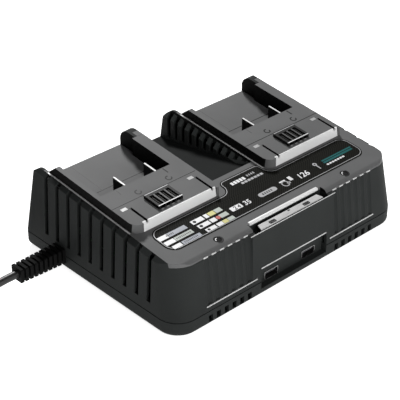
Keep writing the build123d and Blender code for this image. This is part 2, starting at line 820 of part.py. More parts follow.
# ==== Top cover ===================================================================
# The light grey deck with both raised platforms and the sunken floors of the bays.
with BuildPart() as top_cover:
    add(outer_envelope)
    add(inner_envelope, mode=Mode.SUBTRACT)
    level_box((-reach, -reach, 0), (reach, reach, lip_height + joint_gap), Mode.SUBTRACT)
    level_box((-reach, cover_rear, 0), (reach, reach, reach), Mode.SUBTRACT)
    for centre in modules.values():
        platform_shape(centre, 0, Mode.ADD)
    for centre in modules.values():
        platform_shape(centre, wall, Mode.SUBTRACT)
    for centre in modules.values():
        bay_tub(centre)
    for centre in modules.values():
        bay_hollow(centre)
    # Both ends stop at the housing's shoulders.
    level_box((-reach, -reach, 0), (-rim_half_width, reach, reach), Mode.SUBTRACT)
    level_box((rim_half_width, -reach, 0), (reach, reach, reach), Mode.SUBTRACT)
    # The valley and the hood over the USB outlets are open.
    level_box((-valley_top_half, valley_front, 0), (valley_top_half, reach, reach), Mode.SUBTRACT)
    level_box((-hood_half, -reach, 0), (hood_half, hood_rear, reach), Mode.SUBTRACT)
    level_box((-panel_half, -reach, 0), (panel_half, panel_back, panel_top + joint_gap), Mode.SUBTRACT)
    for centre in modules.values():
        # Pocket for the white bar across the front of the platform.
        sloped_block(
            centre - bar_left, centre + bar_right, platform_front - wall, platform_front + bar_depth,
            deck_level, reach, Mode.SUBTRACT,
        )
        # Rounded front left corner of the platform.
        radius = platform_corner_radius
        with BuildSketch(deck_plane) as corner_waste:
            with Locations((centre - platform_left + radius, platform_front + radius)):
                Rectangle(2 * radius, 2 * radius, align=(Align.MAX, Align.MAX))
                Circle(radius, mode=Mode.SUBTRACT)
        extrude(corner_waste.sketch, amount=2 * platform_rise, mode=Mode.SUBTRACT)
        # Narrow slots in the platform's front edge.
        for side in (-1, 1):
            slot_x = centre + side * slot_offset
            sloped_block(
                slot_x - slot_width / 2, slot_x + slot_width / 2, platform_front - wall, slot_rear,
                platform_level - slot_depth, reach, Mode.SUBTRACT,
            )
        # Pockets for the small windows.
        for offset_x in window_offsets:
            window_x = centre + offset_x
            sloped_block(
                window_x - window_length / 2, window_x + window_length / 2,
                window_place - window_width / 2, window_place + window_width / 2,
                platform_level - window_depth, reach, Mode.SUBTRACT,
            )
        # Opening for the terminal block.
        sloped_block(
            centre - block_left - joint_gap, centre + block_right + joint_gap,
            block_front - joint_gap, block_rear + joint_gap, under_cover, reach, Mode.SUBTRACT,
        )
    # Holes for the two charge lights.
    with BuildSketch(deck_plane.offset(-2 * wall)):
        with Locations((-module_centre, led_place), (module_centre, led_place)):
            Circle(led_radius + joint_gap)
    extrude(amount=reach, mode=Mode.SUBTRACT)
export(top_cover, "top_cover")

# ==== Pieces on the cover =========================================================
with BuildPart() as label_overlay:
    with BuildSketch(deck_plane):
        with Locations((0, (label_front + label_rear) / 2)):
            RectangleRounded(2 * label_half, label_rear - label_front, label_corner)
        tongue_front = (label_front + label_rear) / 2
        with Locations((0, (tongue_front + label_tongue_rear) / 2)):
            Rectangle(2 * label_tongue_half, label_tongue_rear - tongue_front)
        tongue_corners = vertices().group_by(Axis.Y)[-1]
        fillet(tongue_corners, label_tongue_radius)
        notch_corners = vertices().filter_by_position(Axis.Y, label_rear - joint_gap, label_rear + joint_gap)
        notch_reach = label_tongue_half + joint_gap
        notch_corners = notch_corners.filter_by_position(Axis.X, -notch_reach, notch_reach)
        fillet(notch_corners, label_notch_radius)
    extrude(amount=label_thickness)
export(label_overlay, "label_overlay")

for name, centre in modules.items():
    with BuildPart() as status_bar:
        back = platform_front + bar_depth
        sloped_block(
            centre - bar_left, centre + bar_right, platform_front, back, deck_level, platform_level
        )
        # The front face leans back towards the top.
        with BuildSketch(Plane.YZ.offset(centre - bar_left)):
            Polygon(
                (platform_front, on_slope(deck_level, platform_front)),
                (platform_front + bar_draft, on_slope(platform_level, platform_front + bar_draft)),
                (platform_front - wall, on_slope(platform_level, platform_front - wall)),
                (platform_front - wall, on_slope(deck_level, platform_front - wall)),
                align=None,
            )
        extrude(amount=bar_left + bar_right, mode=Mode.SUBTRACT)
        for side in (-1, 1):
            slot_x = centre + side * slot_offset
            sloped_block(
                slot_x - slot_width / 2, slot_x + slot_width / 2, platform_front - wall, back + wall,
                platform_level - slot_depth, reach, Mode.SUBTRACT,
            )
    export(status_bar, f"status_bar_{name}")

    with BuildPart() as terminal_block:
        sloped_block(
            centre - block_left, centre + block_right, block_front, block_rear,
            platform_level - wall, platform_level + block_rise,
        )
        sloped_block(
            centre - block_left - block_flange, centre + block_right + block_flange,
            block_front + joint_gap, block_rear + block_flange,
            platform_level - wall - block_flange, platform_level - wall,
        )
        blade_middle = centre + (block_right - block_left) / 2
        blade_places = [blade_middle + blade_pitch * (i - (blade_count - 1) / 2) for i in range(blade_count)]
        for blade_x in blade_places:
            sloped_block(
                blade_x - groove_width / 2, blade_x + groove_width / 2,
                block_front - wall, block_rear - groove_end,
                platform_level + block_rise - groove_depth, reach, Mode.SUBTRACT,
            )
    export(terminal_block, f"terminal_block_{name}")

    with BuildPart() as contact_blades:
        for blade_x in blade_places:
            sloped_block(
                blade_x - blade_thickness / 2, blade_x + blade_thickness / 2,
                block_front + blade_inset, block_rear - groove_width - blade_inset,
                platform_level + block_rise - groove_depth, platform_level + block_rise - blade_cover,
            )
    export(contact_blades, f"contact_blades_{name}")

    with BuildPart() as guide_fins:
        for offset_x in fin_offsets:
            sloped_block(
                centre + offset_x - fin_thickness / 2, centre + offset_x + fin_thickness / 2,
                platform_rear, platform_rear + fin_length, floor_level, platform_level,
            )
    export(guide_fins, f"guide_fins_{name}")

with BuildPart() as bay_windows:
    for centre in modules.values():
        for offset_x in window_offsets:
            window_x = centre + offset_x
            sloped_block(
                window_x - window_length / 2, window_x + window_length / 2,
                window_place - window_width / 2, window_place + window_width / 2,
                platform_level - window_depth, platform_level,
            )
export(bay_windows, "bay_windows")

with BuildPart() as led_lenses:
    led_plane = deck_plane.offset(-wall)
    with BuildSketch(led_plane):
        with Locations((-module_centre, led_place), (module_centre, led_place)):
            Circle(led_radius)
    extrude(amount=wall - led_sink)
    with BuildSketch(led_plane):
        with Locations((-module_centre, led_place), (module_centre, led_place)):
            Circle(led_radius + led_flange)
    extrude(amount=-led_flange)
export(led_lenses, "led_lenses")

with BuildPart() as usb_icon_plate:
    with BuildSketch(deck_plane.offset(-plate_drop)):
        Polygon(
            (-plate_half, plate_front),
            (plate_half, plate_front),
            (plate_half - plate_taper, plate_rear),
            (-plate_half + plate_taper, plate_rear),
            align=None,
        )
    extrude(amount=-plate_thickness)
export(usb_icon_plate, "usb_icon_plate")

# ==== USB outlets =================================================================
for name, centre_x in usb_places.items():
    with BuildPart() as usb_shell:
        with BuildSketch(Plane.XZ.offset(-usb_front)):
            oblong((centre_x, usb_height), usb_outer, usb_skin)
        extrude(amount=-usb_length)
        with BuildSketch(Plane.XZ.offset(-usb_front)):
            with Locations((centre_x, usb_height)):
                Rectangle(usb_outer[0] - 2 * usb_skin, usb_outer[1] - 2 * usb_skin)
        extrude(amount=usb_skin - usb_length, mode=Mode.SUBTRACT)
    export(usb_shell, f"usb_shell_{name}")

    with BuildPart() as usb_tongue_piece:
        tongue_top = usb_height + usb_outer[1] / 2 - usb_skin - usb_tongue_drop
        level_box(
            (centre_x - usb_tongue[0] / 2, usb_front + usb_tongue_setback, tongue_top - usb_tongue[1]),
            (centre_x + usb_tongue[0] / 2, usb_front + usb_length - usb_skin, tongue_top),
        )
        # The root fills the shell's cross-section.
        level_box(
            (
                centre_x - usb_outer[0] / 2 + usb_skin,
                usb_front + usb_length - 2 * usb_tongue[1],
                usb_height - usb_outer[1] / 2 + usb_skin,
            ),
            (
                centre_x + usb_outer[0] / 2 - usb_skin,
                usb_front + usb_length - usb_skin,
                usb_height + usb_outer[1] / 2 - usb_skin,
            ),
        )
    export(usb_tongue_piece, f"usb_tongue_{name}")

with BuildPart() as usb_board:
    with BuildSketch(Plane.XY.offset(outlet_board_bottom)):
        with Locations((0, outlet_board_y)):
            Rectangle(usb_board_size[0], usb_board_size[1])
    extrude(amount=board_thickness)
export(usb_board, "usb_board")

# ==== Electronics =================================================================
with BuildPart() as main_board:
    with BuildSketch(Plane.XY.offset(board_bottom)):
        with Locations((0, board_centre_y)):
            RectangleRounded(board_size[0], board_size[1], standoff_radius)
    extrude(amount=board_thickness)
export(main_board, "main_board")

core_x = core_centre[0]
core_y = core_centre[1]
with BuildPart() as transformer_core:
    level_box(
        (core_x - core_size[0] / 2, core_y - core_size[1] / 2, board_top),
        (core_x + core_size[0] / 2, core_y + core_size[1] / 2, board_top + core_size[2]),
    )
    window_bottom = board_top + (core_size[2] - core_window[1]) / 2
    for side in (-1, 1):
        window_edges = sorted((side * core_leg, side * (core_leg + core_window[0])))
        level_box(
            (core_x + window_edges[0], core_y - core_size[1], window_bottom),
            (core_x + window_edges[1], core_y + core_size[1], window_bottom + core_window[1]),
            Mode.SUBTRACT,
        )
export(transformer_core, "transformer_core")

with BuildPart() as transformer_winding:
    with BuildSketch(Plane.XY.offset(window_bottom)):
        oblong(core_centre, winding_size, core_leg / 2)
        with Locations(core_centre):
            Rectangle(2 * core_leg, core_size[1], mode=Mode.SUBTRACT)
    extrude(amount=core_window[1])
export(transformer_winding, "transformer_winding")

with BuildPart() as capacitors:
    with BuildSketch(Plane.XY.offset(board_top)):
        with Locations(*capacitor_places):
            Circle(capacitor_radius)
    extrude(amount=capacitor_height)
    fillet(faces().group_by(Axis.Z)[-1].edges(), capacitor_edge)
export(capacitors, "capacitors")

with BuildPart() as choke:
    with BuildSketch(Plane.XZ.offset(-choke_place[1] - choke_width / 2)):
        with Locations((choke_place[0], board_top + choke_radius)):
            Circle(choke_radius)
            Circle(choke_bore, mode=Mode.SUBTRACT)
    extrude(amount=choke_width)
    fillet(edges().filter_by(GeomType.CIRCLE).group_by(SortBy.RADIUS)[-1], choke_edge)
export(choke, "choke")

with BuildPart() as heatsinks:
    fin_pitch = (sink_plate[1] - sink_fin_thickness) / (sink_fin_count - 1)
    for sink_x in sink_places:
        level_box(
            (sink_x, sink_front, board_top),
            (sink_x + sink_plate[0], sink_front + sink_plate[1], board_top + sink_plate[2]),
        )
        for i in range(sink_fin_count):
            fin_y = sink_front + fin_pitch * i
            level_box(
                (sink_x + sink_plate[0], fin_y, board_top),
                (
                    sink_x + sink_plate[0] + sink_fin_length,
                    fin_y + sink_fin_thickness,
                    board_top + sink_plate[2],
                ),
            )
export(heatsinks, "heatsinks")

with BuildPart() as fuse:
    with BuildSketch(Plane.YZ.offset(fuse_place[0] - fuse_length / 2)):
        with Locations((fuse_place[1], board_top + fuse_radius)):
            Circle(fuse_radius)
    extrude(amount=fuse_length)
export(fuse, "fuse")

with BuildPart() as inlet_terminal:
    level_box(
        (terminal_place - terminal_size[0] / 2, lead_y - terminal_size[1] / 2, board_top),
        (terminal_place + terminal_size[0] / 2, lead_y + terminal_size[1] / 2, board_top + terminal_size[2]),
    )
    # Two wire entries facing the strain relief.
    with BuildSketch(Plane.YZ.offset(terminal_place - terminal_size[0] / 2)):
        with Locations((lead_y, board_top + terminal_size[2] / 2)):
            with GridLocations(terminal_size[1] / 2, 1, 2, 1):
                Circle(cord_radius / 2)
    extrude(amount=terminal_size[0] / 2, mode=Mode.SUBTRACT)
export(inlet_terminal, "inlet_terminal")

# ==== Fan =========================================================================
fan_centre_z = fan_seat + fan_size / 2
with BuildPart() as fan_frame:
    with BuildSketch(Plane.YZ.offset(fan_face)):
        with Locations((fan_centre_y, fan_centre_z)):
            RectangleRounded(fan_size, fan_size, rib_thickness)
            Circle(fan_bore_radius, mode=Mode.SUBTRACT)
    extrude(amount=fan_depth)
    # Spider with the shaft's bearing, at the inner face.
    with BuildSketch(Plane.YZ.offset(fan_face)):
        with Locations((fan_centre_y, fan_centre_z)):
            Circle(fan_hub_radius)
            Rectangle(2 * fan_bore_radius + wall, rib_thickness)
            Rectangle(rib_thickness, 2 * fan_bore_radius + wall)
            Circle(fan_shaft_radius + fan_shaft_clearance, mode=Mode.SUBTRACT)
    extrude(amount=fan_spider)
export(fan_frame, "fan_frame")

with BuildPart() as fan_rotor:
    hub_start = fan_face + fan_spider + fan_axial_gap
    hub_length = fan_depth - fan_spider - 2 * fan_axial_gap
    with BuildSketch(Plane.YZ.offset(hub_start)):
        with Locations((fan_centre_y, fan_centre_z)):
            Circle(fan_hub_radius)
    extrude(amount=hub_length)
    with BuildSketch(Plane.YZ.offset(fan_face)):
        with Locations((fan_centre_y, fan_centre_z)):
            Circle(fan_shaft_radius)
    extrude(amount=hub_start - fan_face)
    # Flat blades set at an angle to the axis, trimmed to a circle inside the bore.
    blade_reach = fan_bore_radius - fan_tip_gap
    for i in range(fan_blade_count):
        turn = 360 * i / fan_blade_count
        outward = Vector(0, 1, 0).rotate(Axis.X, turn)
        across = Vector(0, 0, 1).rotate(Axis.X, turn)
        lean = math.radians(fan_blade_angle)
        along = Vector(1, 0, 0) * math.cos(lean) + across * math.sin(lean)
        root = Vector(hub_start + hub_length / 2, fan_centre_y, fan_centre_z) + outward * (fan_hub_radius / 2)
        with BuildSketch(Plane(origin=root, x_dir=along, z_dir=outward)):
            Rectangle(hub_length / math.cos(lean) * fan_root_share, fan_blade_thickness)
        extrude(amount=fan_bore_radius)
    with BuildSketch(Plane.YZ.offset(fan_face)):
        with Locations((fan_centre_y, fan_centre_z)):
            Circle(blade_reach)
    extrude(amount=fan_depth - fan_axial_gap, mode=Mode.INTERSECT)
export(fan_rotor, "fan_rotor")

# ==== Feet and screws =============================================================
with BuildPart() as rubber_feet:
    with BuildSketch():
        with GridLocations(2 * foot_x, 2 * foot_y, 2, 2):
            Circle(foot_radius)
    extrude(amount=base_bottom + foot_recess)
export(rubber_feet, "rubber_feet")

with BuildPart() as housing_screws:
    head_top = base_bottom + boss_floor
    with BuildSketch(Plane.XY.offset(head_top - screw_head_height)):
        with GridLocations(2 * screw_x, 2 * screw_y, 2, 2):
            Circle(screw_head_radius)
    extrude(amount=screw_head_height)
    with BuildSketch(Plane.XY.offset(head_top)):
        with GridLocations(2 * screw_x, 2 * screw_y, 2, 2):
            Circle(screw_radius)
    extrude(amount=screw_length)
export(housing_screws, "housing_screws")

# ==== Mains lead ==================================================================
with BuildPart() as strain_relief:
    boot_root = -half_width - joint_gap / 2
    boot_length = boot_root - boot_end
    # Neck through the wall with a flange inside it.
    neck_inner = -half_width + base_wall + neck_slack
    with BuildSketch(Plane.YZ.offset(boot_root)):
        oblong((lead_y, lead_height), boot_neck, boot_corner)
    extrude(amount=neck_inner + boot_flange - boot_root)
    with BuildSketch(Plane.YZ.offset(neck_inner)):
        oblong((lead_y, lead_height), (boot_fin[0], boot_neck[1]), boot_corner)
    extrude(amount=boot_flange)
    # Collar, tapered core and flexing fins outside.
    with BuildSketch(Plane.YZ.offset(boot_root)):
        oblong((lead_y, lead_height), boot_fin, boot_corner)
    extrude(amount=-boot_collar)
    with BuildSketch(Plane.YZ.offset(boot_root)):
        oblong((lead_y, lead_height), boot_core, boot_corner)
    with BuildSketch(Plane.YZ.offset(boot_end)):
        tip = (boot_core[0] * boot_tip_shrink, boot_core[1] * boot_tip_shrink)
        oblong((lead_y, lead_height), tip, boot_corner)
    loft()
    fin_run = boot_length - boot_collar
    boot_pitch = fin_run / boot_fin_count
    for i in range(boot_fin_count):
        fin_end = boot_root - boot_collar - boot_pitch * (i + 1)
        shrink = 1 - (1 - boot_tip_shrink) * (i + 1) / boot_fin_count
        with BuildSketch(Plane.YZ.offset(fin_end)):
            oblong((lead_y, lead_height), (boot_fin[0] * shrink, boot_fin[1] * shrink), boot_corner)
        extrude(amount=boot_fin_thickness)
export(strain_relief, "strain_relief")

mains_cord = lead_tube(cord_route, "mains_cord")
export(mains_cord, "mains_cord")
cord_tail = lead_tube(tail_route, "cord_tail")
export(cord_tail, "cord_tail")

coil_half = coil_columns * cord_radius
coil_height = 2 * coil_rows * cord_radius
coil_axis = Axis((coil_centre[0], coil_centre[1], 0), (0, 0, 1))
coil_plane = Plane(origin=coil_axis.position, x_dir=(1, 0, 0), z_dir=(0, -1, 0))
with BuildPart() as cord_coil:
    with BuildSketch(coil_plane):
        oblong((coil_radius, coil_height / 2), (2 * coil_half, coil_height), cord_radius)
    revolve(axis=coil_axis)
export(cord_coil, "cord_coil")

with BuildPart() as coil_tie:
    # A band around the bundle; its underside is flush with the bundle's.
    tie_heading = (math.cos(math.radians(tie_angle)), math.sin(math.radians(tie_angle)), 0)
    tie_normal = (tie_heading[1], -tie_heading[0], 0)
    with BuildSketch(Plane(origin=coil_axis.position, x_dir=tie_heading, z_dir=tie_normal)):
        oblong(
            (coil_radius, (coil_height + tie_thickness) / 2),
            (2 * coil_half + 2 * tie_thickness, coil_height + tie_thickness),
            cord_radius,
        )
        with Locations((coil_radius, coil_height / 2)):
            RectangleRounded(
                2 * coil_half, coil_height - 2 * tie_thickness, cord_radius - tie_thickness,
                mode=Mode.SUBTRACT,
            )
    revolve(axis=coil_axis, revolution_arc=tie_sweep)
export(coil_tie, "coil_tie")

# The plug lies flat, in line with the end of the lead.
plug_start = Vector(*tail_route[-1])
plug_heading = plug_start - Vector(*tail_route[-2])
plug_heading = Vector(plug_heading.X, plug_heading.Y, 0).normalized()
plug_side = Vector(0, 0, 1).cross(plug_heading)


def plug_plane(distance):
    """A plane across the plug, this far along it; its x runs sideways and its y up."""
    return Plane(origin=plug_start + plug_heading * distance, x_dir=-plug_side, z_dir=plug_heading)


with BuildPart() as plug:
    with BuildSketch(plug_plane(0)):
        Circle(cord_radius + tie_thickness)
    with BuildSketch(plug_plane(plug_boot_length)):
        Circle(plug_boot_radius)
    loft()
    with BuildSketch(plug_plane(plug_boot_length)):
        RectangleRounded(plug_body[0] / 2, plug_body[1] / 2, plug_neck_corner)
    with BuildSketch(plug_plane(plug_boot_length + plug_body[2] / 2)):
        RectangleRounded(plug_body[0], plug_body[1], plug_body[1] / 2 - joint_gap)
    loft()
    with BuildSketch(plug_plane(plug_boot_length + plug_body[2] / 2)):
        RectangleRounded(plug_body[0], plug_body[1], plug_body[1] / 2 - joint_gap)
    extrude(amount=plug_body[2] / 2)
export(plug, "plug")

with BuildPart() as plug_pins:
    with BuildSketch(plug_plane(plug_boot_length + plug_body[2])):
        with GridLocations(plug_pin_spacing, 1, 2, 1):
            Circle(plug_pin_radius)
    extrude(amount=plug_pin_length)
    fillet(faces().sort_by(Axis(plug_start, plug_heading))[-2:].edges(), plug_pin_radius / 2)
export(plug_pins, "plug_pins")
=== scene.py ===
"""Dresses the twin-bay battery charger: moulded shells, printed label, lights, terminals, lead and studio.

Metres. X runs along the front, -Y is the front (USB) side, +Z is up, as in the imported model.
"""

import math

import bpy
from mathutils import Matrix, Vector


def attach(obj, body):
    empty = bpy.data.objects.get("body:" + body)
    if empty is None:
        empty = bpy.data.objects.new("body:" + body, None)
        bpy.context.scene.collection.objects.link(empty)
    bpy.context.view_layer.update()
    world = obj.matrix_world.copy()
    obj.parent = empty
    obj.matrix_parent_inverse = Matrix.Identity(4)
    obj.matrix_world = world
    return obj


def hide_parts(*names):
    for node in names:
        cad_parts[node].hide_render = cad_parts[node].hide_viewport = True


bl_info = {
    "name": "Twin Bay Battery Charger",
    "version": (1, 0, 0),
    "blender": (4, 5, 0),
    "location": "View3D > Sidebar > Charger",
    "description": "Adds finishes, label, lights, lead and studio to the packed charger",
    "category": "Object",
}

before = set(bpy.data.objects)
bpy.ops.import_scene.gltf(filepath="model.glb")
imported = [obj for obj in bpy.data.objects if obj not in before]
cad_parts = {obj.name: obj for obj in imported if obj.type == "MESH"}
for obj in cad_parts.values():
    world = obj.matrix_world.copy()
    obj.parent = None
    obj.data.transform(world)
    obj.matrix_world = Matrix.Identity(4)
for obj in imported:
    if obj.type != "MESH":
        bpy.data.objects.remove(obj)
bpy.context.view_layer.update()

MM = 0.001

# ---- Where things sit, in millimetres, as in the solids --------------------------------
DECK_SLOPE = 0.10
DECK_LEVEL = 66.8
LABEL_LEVEL = 67.2
PLATFORM_LEVEL = 74.3
BAY_FLOOR_LEVEL = 59.3
BLOCK_LEVEL = 76.8
BAY_CENTRES = (-67.2, 67.2)
DECK_TILT = math.atan(DECK_SLOPE)

# ---- How faces are told apart: the size of a part of their normal ----------------------
UPRIGHT_NORMAL = 0.3
WALL_NORMAL = 0.9
LEVEL_NORMAL = 0.9

# ---- How meshes are merged and rounded; angles in degrees ------------------------------
MERGE_DISTANCE = 0.002 * MM
RING_MERGE_DISTANCE = 0.001 * MM
FLAT_ANGLE = 0.6
SMOOTH_ANGLE = 32.0
EDGE_SEGMENTS = 2
TILE_CORNER_SEGMENTS = 3
RING_STEPS = 20

# ---- The lead's line, in millimetres except where it leaves the body and its length ----
LEAD_ROUTE = (
    (-161.0, 43.6, 13.3),
    (-183.0, 43.6, 13.3),
    (-213.0, 44.8, 5.8),
    (-238.6, 69.0, 3.2),
    (-239.4, 104.0, 3.2),
)
TAIL_ROUTE = (
    (-194.0, 166.8, 15.0),
    (-184.0, 171.0, 12.6),
    (-174.1, 175.0, 12.0),
)
COIL_CENTRE = (-193.8, 117.0)
COIL_OUTER = 44.8
COIL_PITCH = 6.4
COIL_FLOOR = 3.2
COIL_LAYER_TURNS = 3.0
COIL_CLIMB_TURNS = 0.25
COIL_TURNS = 7.18
COIL_POINTS_PER_TURN = 16
COIL_START_ANGLE = 180.0
LEAD_ORDER = 3
LEAD_STEPS = 4
LEAD_BEVEL_STEPS = 4


# ==== Sizes and colours that a user would change ========================================
class ChargerSizes(bpy.types.PropertyGroup):
    """Sizes of the details that the dressing adds."""

    edge_rounding: bpy.props.FloatProperty(
        name="Edge rounding",
        description="Radius along the edges of the moulded shells",
        default=0.45 * MM,
        min=0.05 * MM,
        max=1.0 * MM,
        unit="LENGTH",
        precision=5,
    )
    lead_radius: bpy.props.FloatProperty(
        name="Lead radius",
        description="Radius of the round mains lead",
        default=3.2 * MM,
        min=2.0 * MM,
        max=5.0 * MM,
        unit="LENGTH",
        precision=5,
    )
    print_thickness: bpy.props.FloatProperty(
        name="Print thickness",
        description="How far printed marks and fine lines stand on their surface",
        default=0.06 * MM,
        min=0.02 * MM,
        max=0.2 * MM,
        unit="LENGTH",
        precision=5,
    )
    line_width: bpy.props.FloatProperty(
        name="Fine line width",
        description="Width of the fine lines on the platforms and bay floors",
        default=0.55 * MM,
        min=0.1 * MM,
        max=1.0 * MM,
        unit="LENGTH",
        precision=5,
    )


def colour_property(name, description, value):
    """A colour that shows as a swatch in the panel."""
    return bpy.props.FloatVectorProperty(
        name=name, description=description, default=value, min=0.0, max=1.0, subtype="COLOR"
    )


class ChargerColours(bpy.types.PropertyGroup):
    """Colours of the main finishes."""

    housing: colour_property("Housing", "Charcoal of the housing and base", (0.022, 0.024, 0.0235))
    deck: colour_property("Deck", "Grey of the top cover", (0.115, 0.116, 0.117))
    # Black painted shade for the upright walls inside the bays.
    liner: colour_property("Bay liner", "Black of the walls inside the bays", (0.006, 0.006, 0.006))
    label: colour_property("Label film", "Black of the printed label", (0.012, 0.012, 0.010))
    # White painted highlight of the platforms' lit front faces.
    light_bar: colour_property("Status bar", "White of the bars across the bays", (0.80, 0.80, 0.80))
    print_white: colour_property("White print", "White of the printed marks", (0.83, 0.83, 0.84))
    print_teal: colour_property("Teal print", "Teal of the stripe on the label", (0.006, 0.102, 0.102))
    lead: colour_property("Lead", "Black of the mains lead", (0.012, 0.012, 0.012))


# ==== Helpers for modelling =============================================================
def leave_edit_mode():
    """Back to object mode with nothing selected."""
    if bpy.context.object is not None and bpy.context.object.mode != "OBJECT":
        bpy.ops.object.mode_set(mode="OBJECT")
    bpy.ops.object.select_all(action="DESELECT")


def choose(piece):
    """Make one piece the only selected and the active one."""
    leave_edit_mode()
    piece.select_set(True)
    bpy.context.view_layer.objects.active = piece


def merged_copy(node, name, join_flats=False):
    """A new piece from a CAD node's mesh, its loose triangles merged; its flat faces can be joined too."""
    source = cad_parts[node]
    piece = bpy.data.objects.new(name, source.data.copy())
    bpy.context.scene.collection.objects.link(piece)
    choose(piece)
    bpy.ops.mesh.customdata_custom_splitnormals_clear()
    bpy.ops.object.mode_set(mode="EDIT")
    bpy.ops.mesh.select_all(action="SELECT")
    bpy.ops.mesh.remove_doubles(threshold=MERGE_DISTANCE)
    if join_flats:
        bpy.ops.mesh.dissolve_limited(angle_limit=math.radians(FLAT_ANGLE))
    bpy.ops.object.mode_set(mode="OBJECT")
    piece.data.materials.clear()
    return piece


def round_edges(piece, width):
    """Round every sharp edge of a piece and shade it smoothly."""
    rounding = piece.modifiers.new("Rounding", "BEVEL")
    rounding.width = width
    rounding.segments = EDGE_SEGMENTS
    rounding.limit_method = "ANGLE"
    rounding.angle_limit = math.radians(SMOOTH_ANGLE)
    rounding.miter_outer = "MITER_ARC"
    rounding.use_clamp_overlap = True
    choose(piece)
    bpy.ops.object.modifier_apply(modifier=rounding.name)
    bpy.ops.object.shade_smooth_by_angle(angle=math.radians(SMOOTH_ANGLE))
    evening = piece.modifiers.new("Evening", "WEIGHTED_NORMAL")
    evening.keep_sharp = True
    bpy.ops.object.modifier_apply(modifier=evening.name)


def finish_piece(piece, body, material_slot, *nodes):
    """Let a piece ride on a body and stand for CAD nodes. The material slot is not used."""
    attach(piece, body)
    if nodes:
        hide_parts(*nodes)


def dress_node(node, material):
    """Give a CAD node, which keeps its own shape, a detailed material."""
    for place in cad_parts[node].material_slots:
        place.material = material


def deck_matrix(x, y, level):
    """Place and tilt of something that lies on a sloping level, in millimetres."""
    height = level + DECK_SLOPE * y
    place = Matrix.Translation(Vector((x, y, height)) * MM)
    return place @ Matrix.Rotation(DECK_TILT, 4, "X")


def sink_place(piece, matrix):
    """Put a piece's place and turn into its mesh, so that its object stays at the origin."""
    piece.data.transform(matrix)
    piece.matrix_world = Matrix.Identity(4)


def add_tile(name, size, matrix, material, corner=0.0):
    """A thin printed tile: width and depth in millimetres, with optional cut corners."""
    thickness = bpy.context.scene.charger_sizes.print_thickness
    leave_edit_mode()
    bpy.ops.mesh.primitive_plane_add(size=1.0)
    tile = bpy.context.object
    tile.name = name
    bpy.ops.object.mode_set(mode="EDIT")
    bpy.ops.mesh.select_all(action="SELECT")
    bpy.ops.transform.resize(value=(size[0] * MM, size[1] * MM, 1.0))
    if corner:
        bpy.ops.mesh.bevel(offset=corner * MM, segments=TILE_CORNER_SEGMENTS, affect="VERTICES")
    bpy.ops.mesh.extrude_region_move(TRANSFORM_OT_translate={"value": (0, 0, thickness)})
    bpy.ops.mesh.select_all(action="SELECT")
    bpy.ops.mesh.normals_make_consistent(inside=False)
    bpy.ops.object.mode_set(mode="OBJECT")
    sink_place(tile, matrix)
    tile.data.materials.append(material)
    return tile


def add_ring(name, radii, matrix, material, turn=360.0):
    """A thin printed ring, or a part of one, between two radii in millimetres."""
    thickness = bpy.context.scene.charger_sizes.print_thickness
    leave_edit_mode()
    bpy.ops.mesh.primitive_plane_add(size=1.0)
    ring = bpy.context.object
    ring.name = name
    bpy.ops.object.mode_set(mode="EDIT")
    bpy.ops.mesh.select_all(action="SELECT")
    bpy.ops.mesh.delete(type="ONLY_FACE")
    bpy.ops.object.mode_set(mode="OBJECT")
    corners = [(radii[0], 0.0), (radii[1], 0.0), (radii[1], thickness / MM), (radii[0], thickness / MM)]
    for vertex, corner in zip(ring.data.vertices, (corners[0], corners[1], corners[3], corners[2])):
        vertex.co = Vector((corner[0], 0.0, corner[1])) * MM
    bpy.ops.object.mode_set(mode="EDIT")
    bpy.ops.mesh.select_all(action="SELECT")
    bpy.ops.mesh.spin(steps=RING_STEPS, angle=math.radians(turn), center=(0, 0, 0), axis=(0, 0, 1))
    bpy.ops.mesh.select_all(action="SELECT")
    bpy.ops.mesh.remove_doubles(threshold=RING_MERGE_DISTANCE)
    bpy.ops.mesh.normals_make_consistent(inside=False)
    bpy.ops.object.mode_set(mode="OBJECT")
    sink_place(ring, matrix)
    ring.data.materials.append(material)
    return ring


def join_tiles(tiles, name):
    """Join tiles to one piece with its own mesh and name."""
    choose(tiles[0])
    for tile in tiles[1:]:
        tile.select_set(True)
    bpy.ops.object.join()
    piece = bpy.context.object
    piece.name = name
    piece.data.name = name
    return piece


# ==== Finishes ==========================================================================
# Grains, pitches and depths are real sizes. A swing is how far the roughness goes to either
# side, and a rise how far it goes up.
CLOUD_GRAIN = 30 * MM
FINE_DETAIL = 3.0
MOULDED_SWING = 0.08
STREAK_GRAIN = 0.25 * MM
STREAK_STRETCH = 0.03
STREAK_DEPTH = 0.01 * MM
STREAK_STRENGTH = 0.3
BRUSHED_SWING = 0.1
# At scale 1 a wave texture repeats after this many metres.
WAVE_SPACING = math.pi / 10
WAVE_DISTORTION = 0.15
BAND_STEP = (0.1, 0.8)
BAND_DEPTH = 0.15 * MM
WEAVE_PITCH = 1.1 * MM
WEAVE_SHADES = (0.3, 1.4)
WEAVE_GLOSS = 0.02
WEAVE_GRAIN = 0.4 * MM
WEAVE_ROUGHNESS = (0.46, 0.56)
WEAVE_DEPTH = 0.01 * MM
CLEAR_GRAIN = 1.5 * MM
CLEAR_DARKEST = 0.92
CLEAR_RISE = 0.1
CLEAR_DEPTH = 0.02 * MM
FAINT_STRENGTH = 0.2
PRINT_GRAIN = 0.3 * MM
PRINT_DEPTH = 0.004 * MM
PRINT_ROUGHNESS = 0.4
# The charcoal is lighter on the valley's sloping shoulders as painted light and darker on its floor as
# painted shade.
SHOULDER_SHADE = 2.6
VALLEY_SHADE = 0.62


def new_material(name):
    """An empty material with its shader and a texture coordinate node."""
    material = bpy.data.materials.new(name)
    material.use_nodes = True
    shader = material.node_tree.nodes["Principled BSDF"]
    place = material.node_tree.nodes.new("ShaderNodeTexCoord")
    return material, shader, place.outputs["Object"]


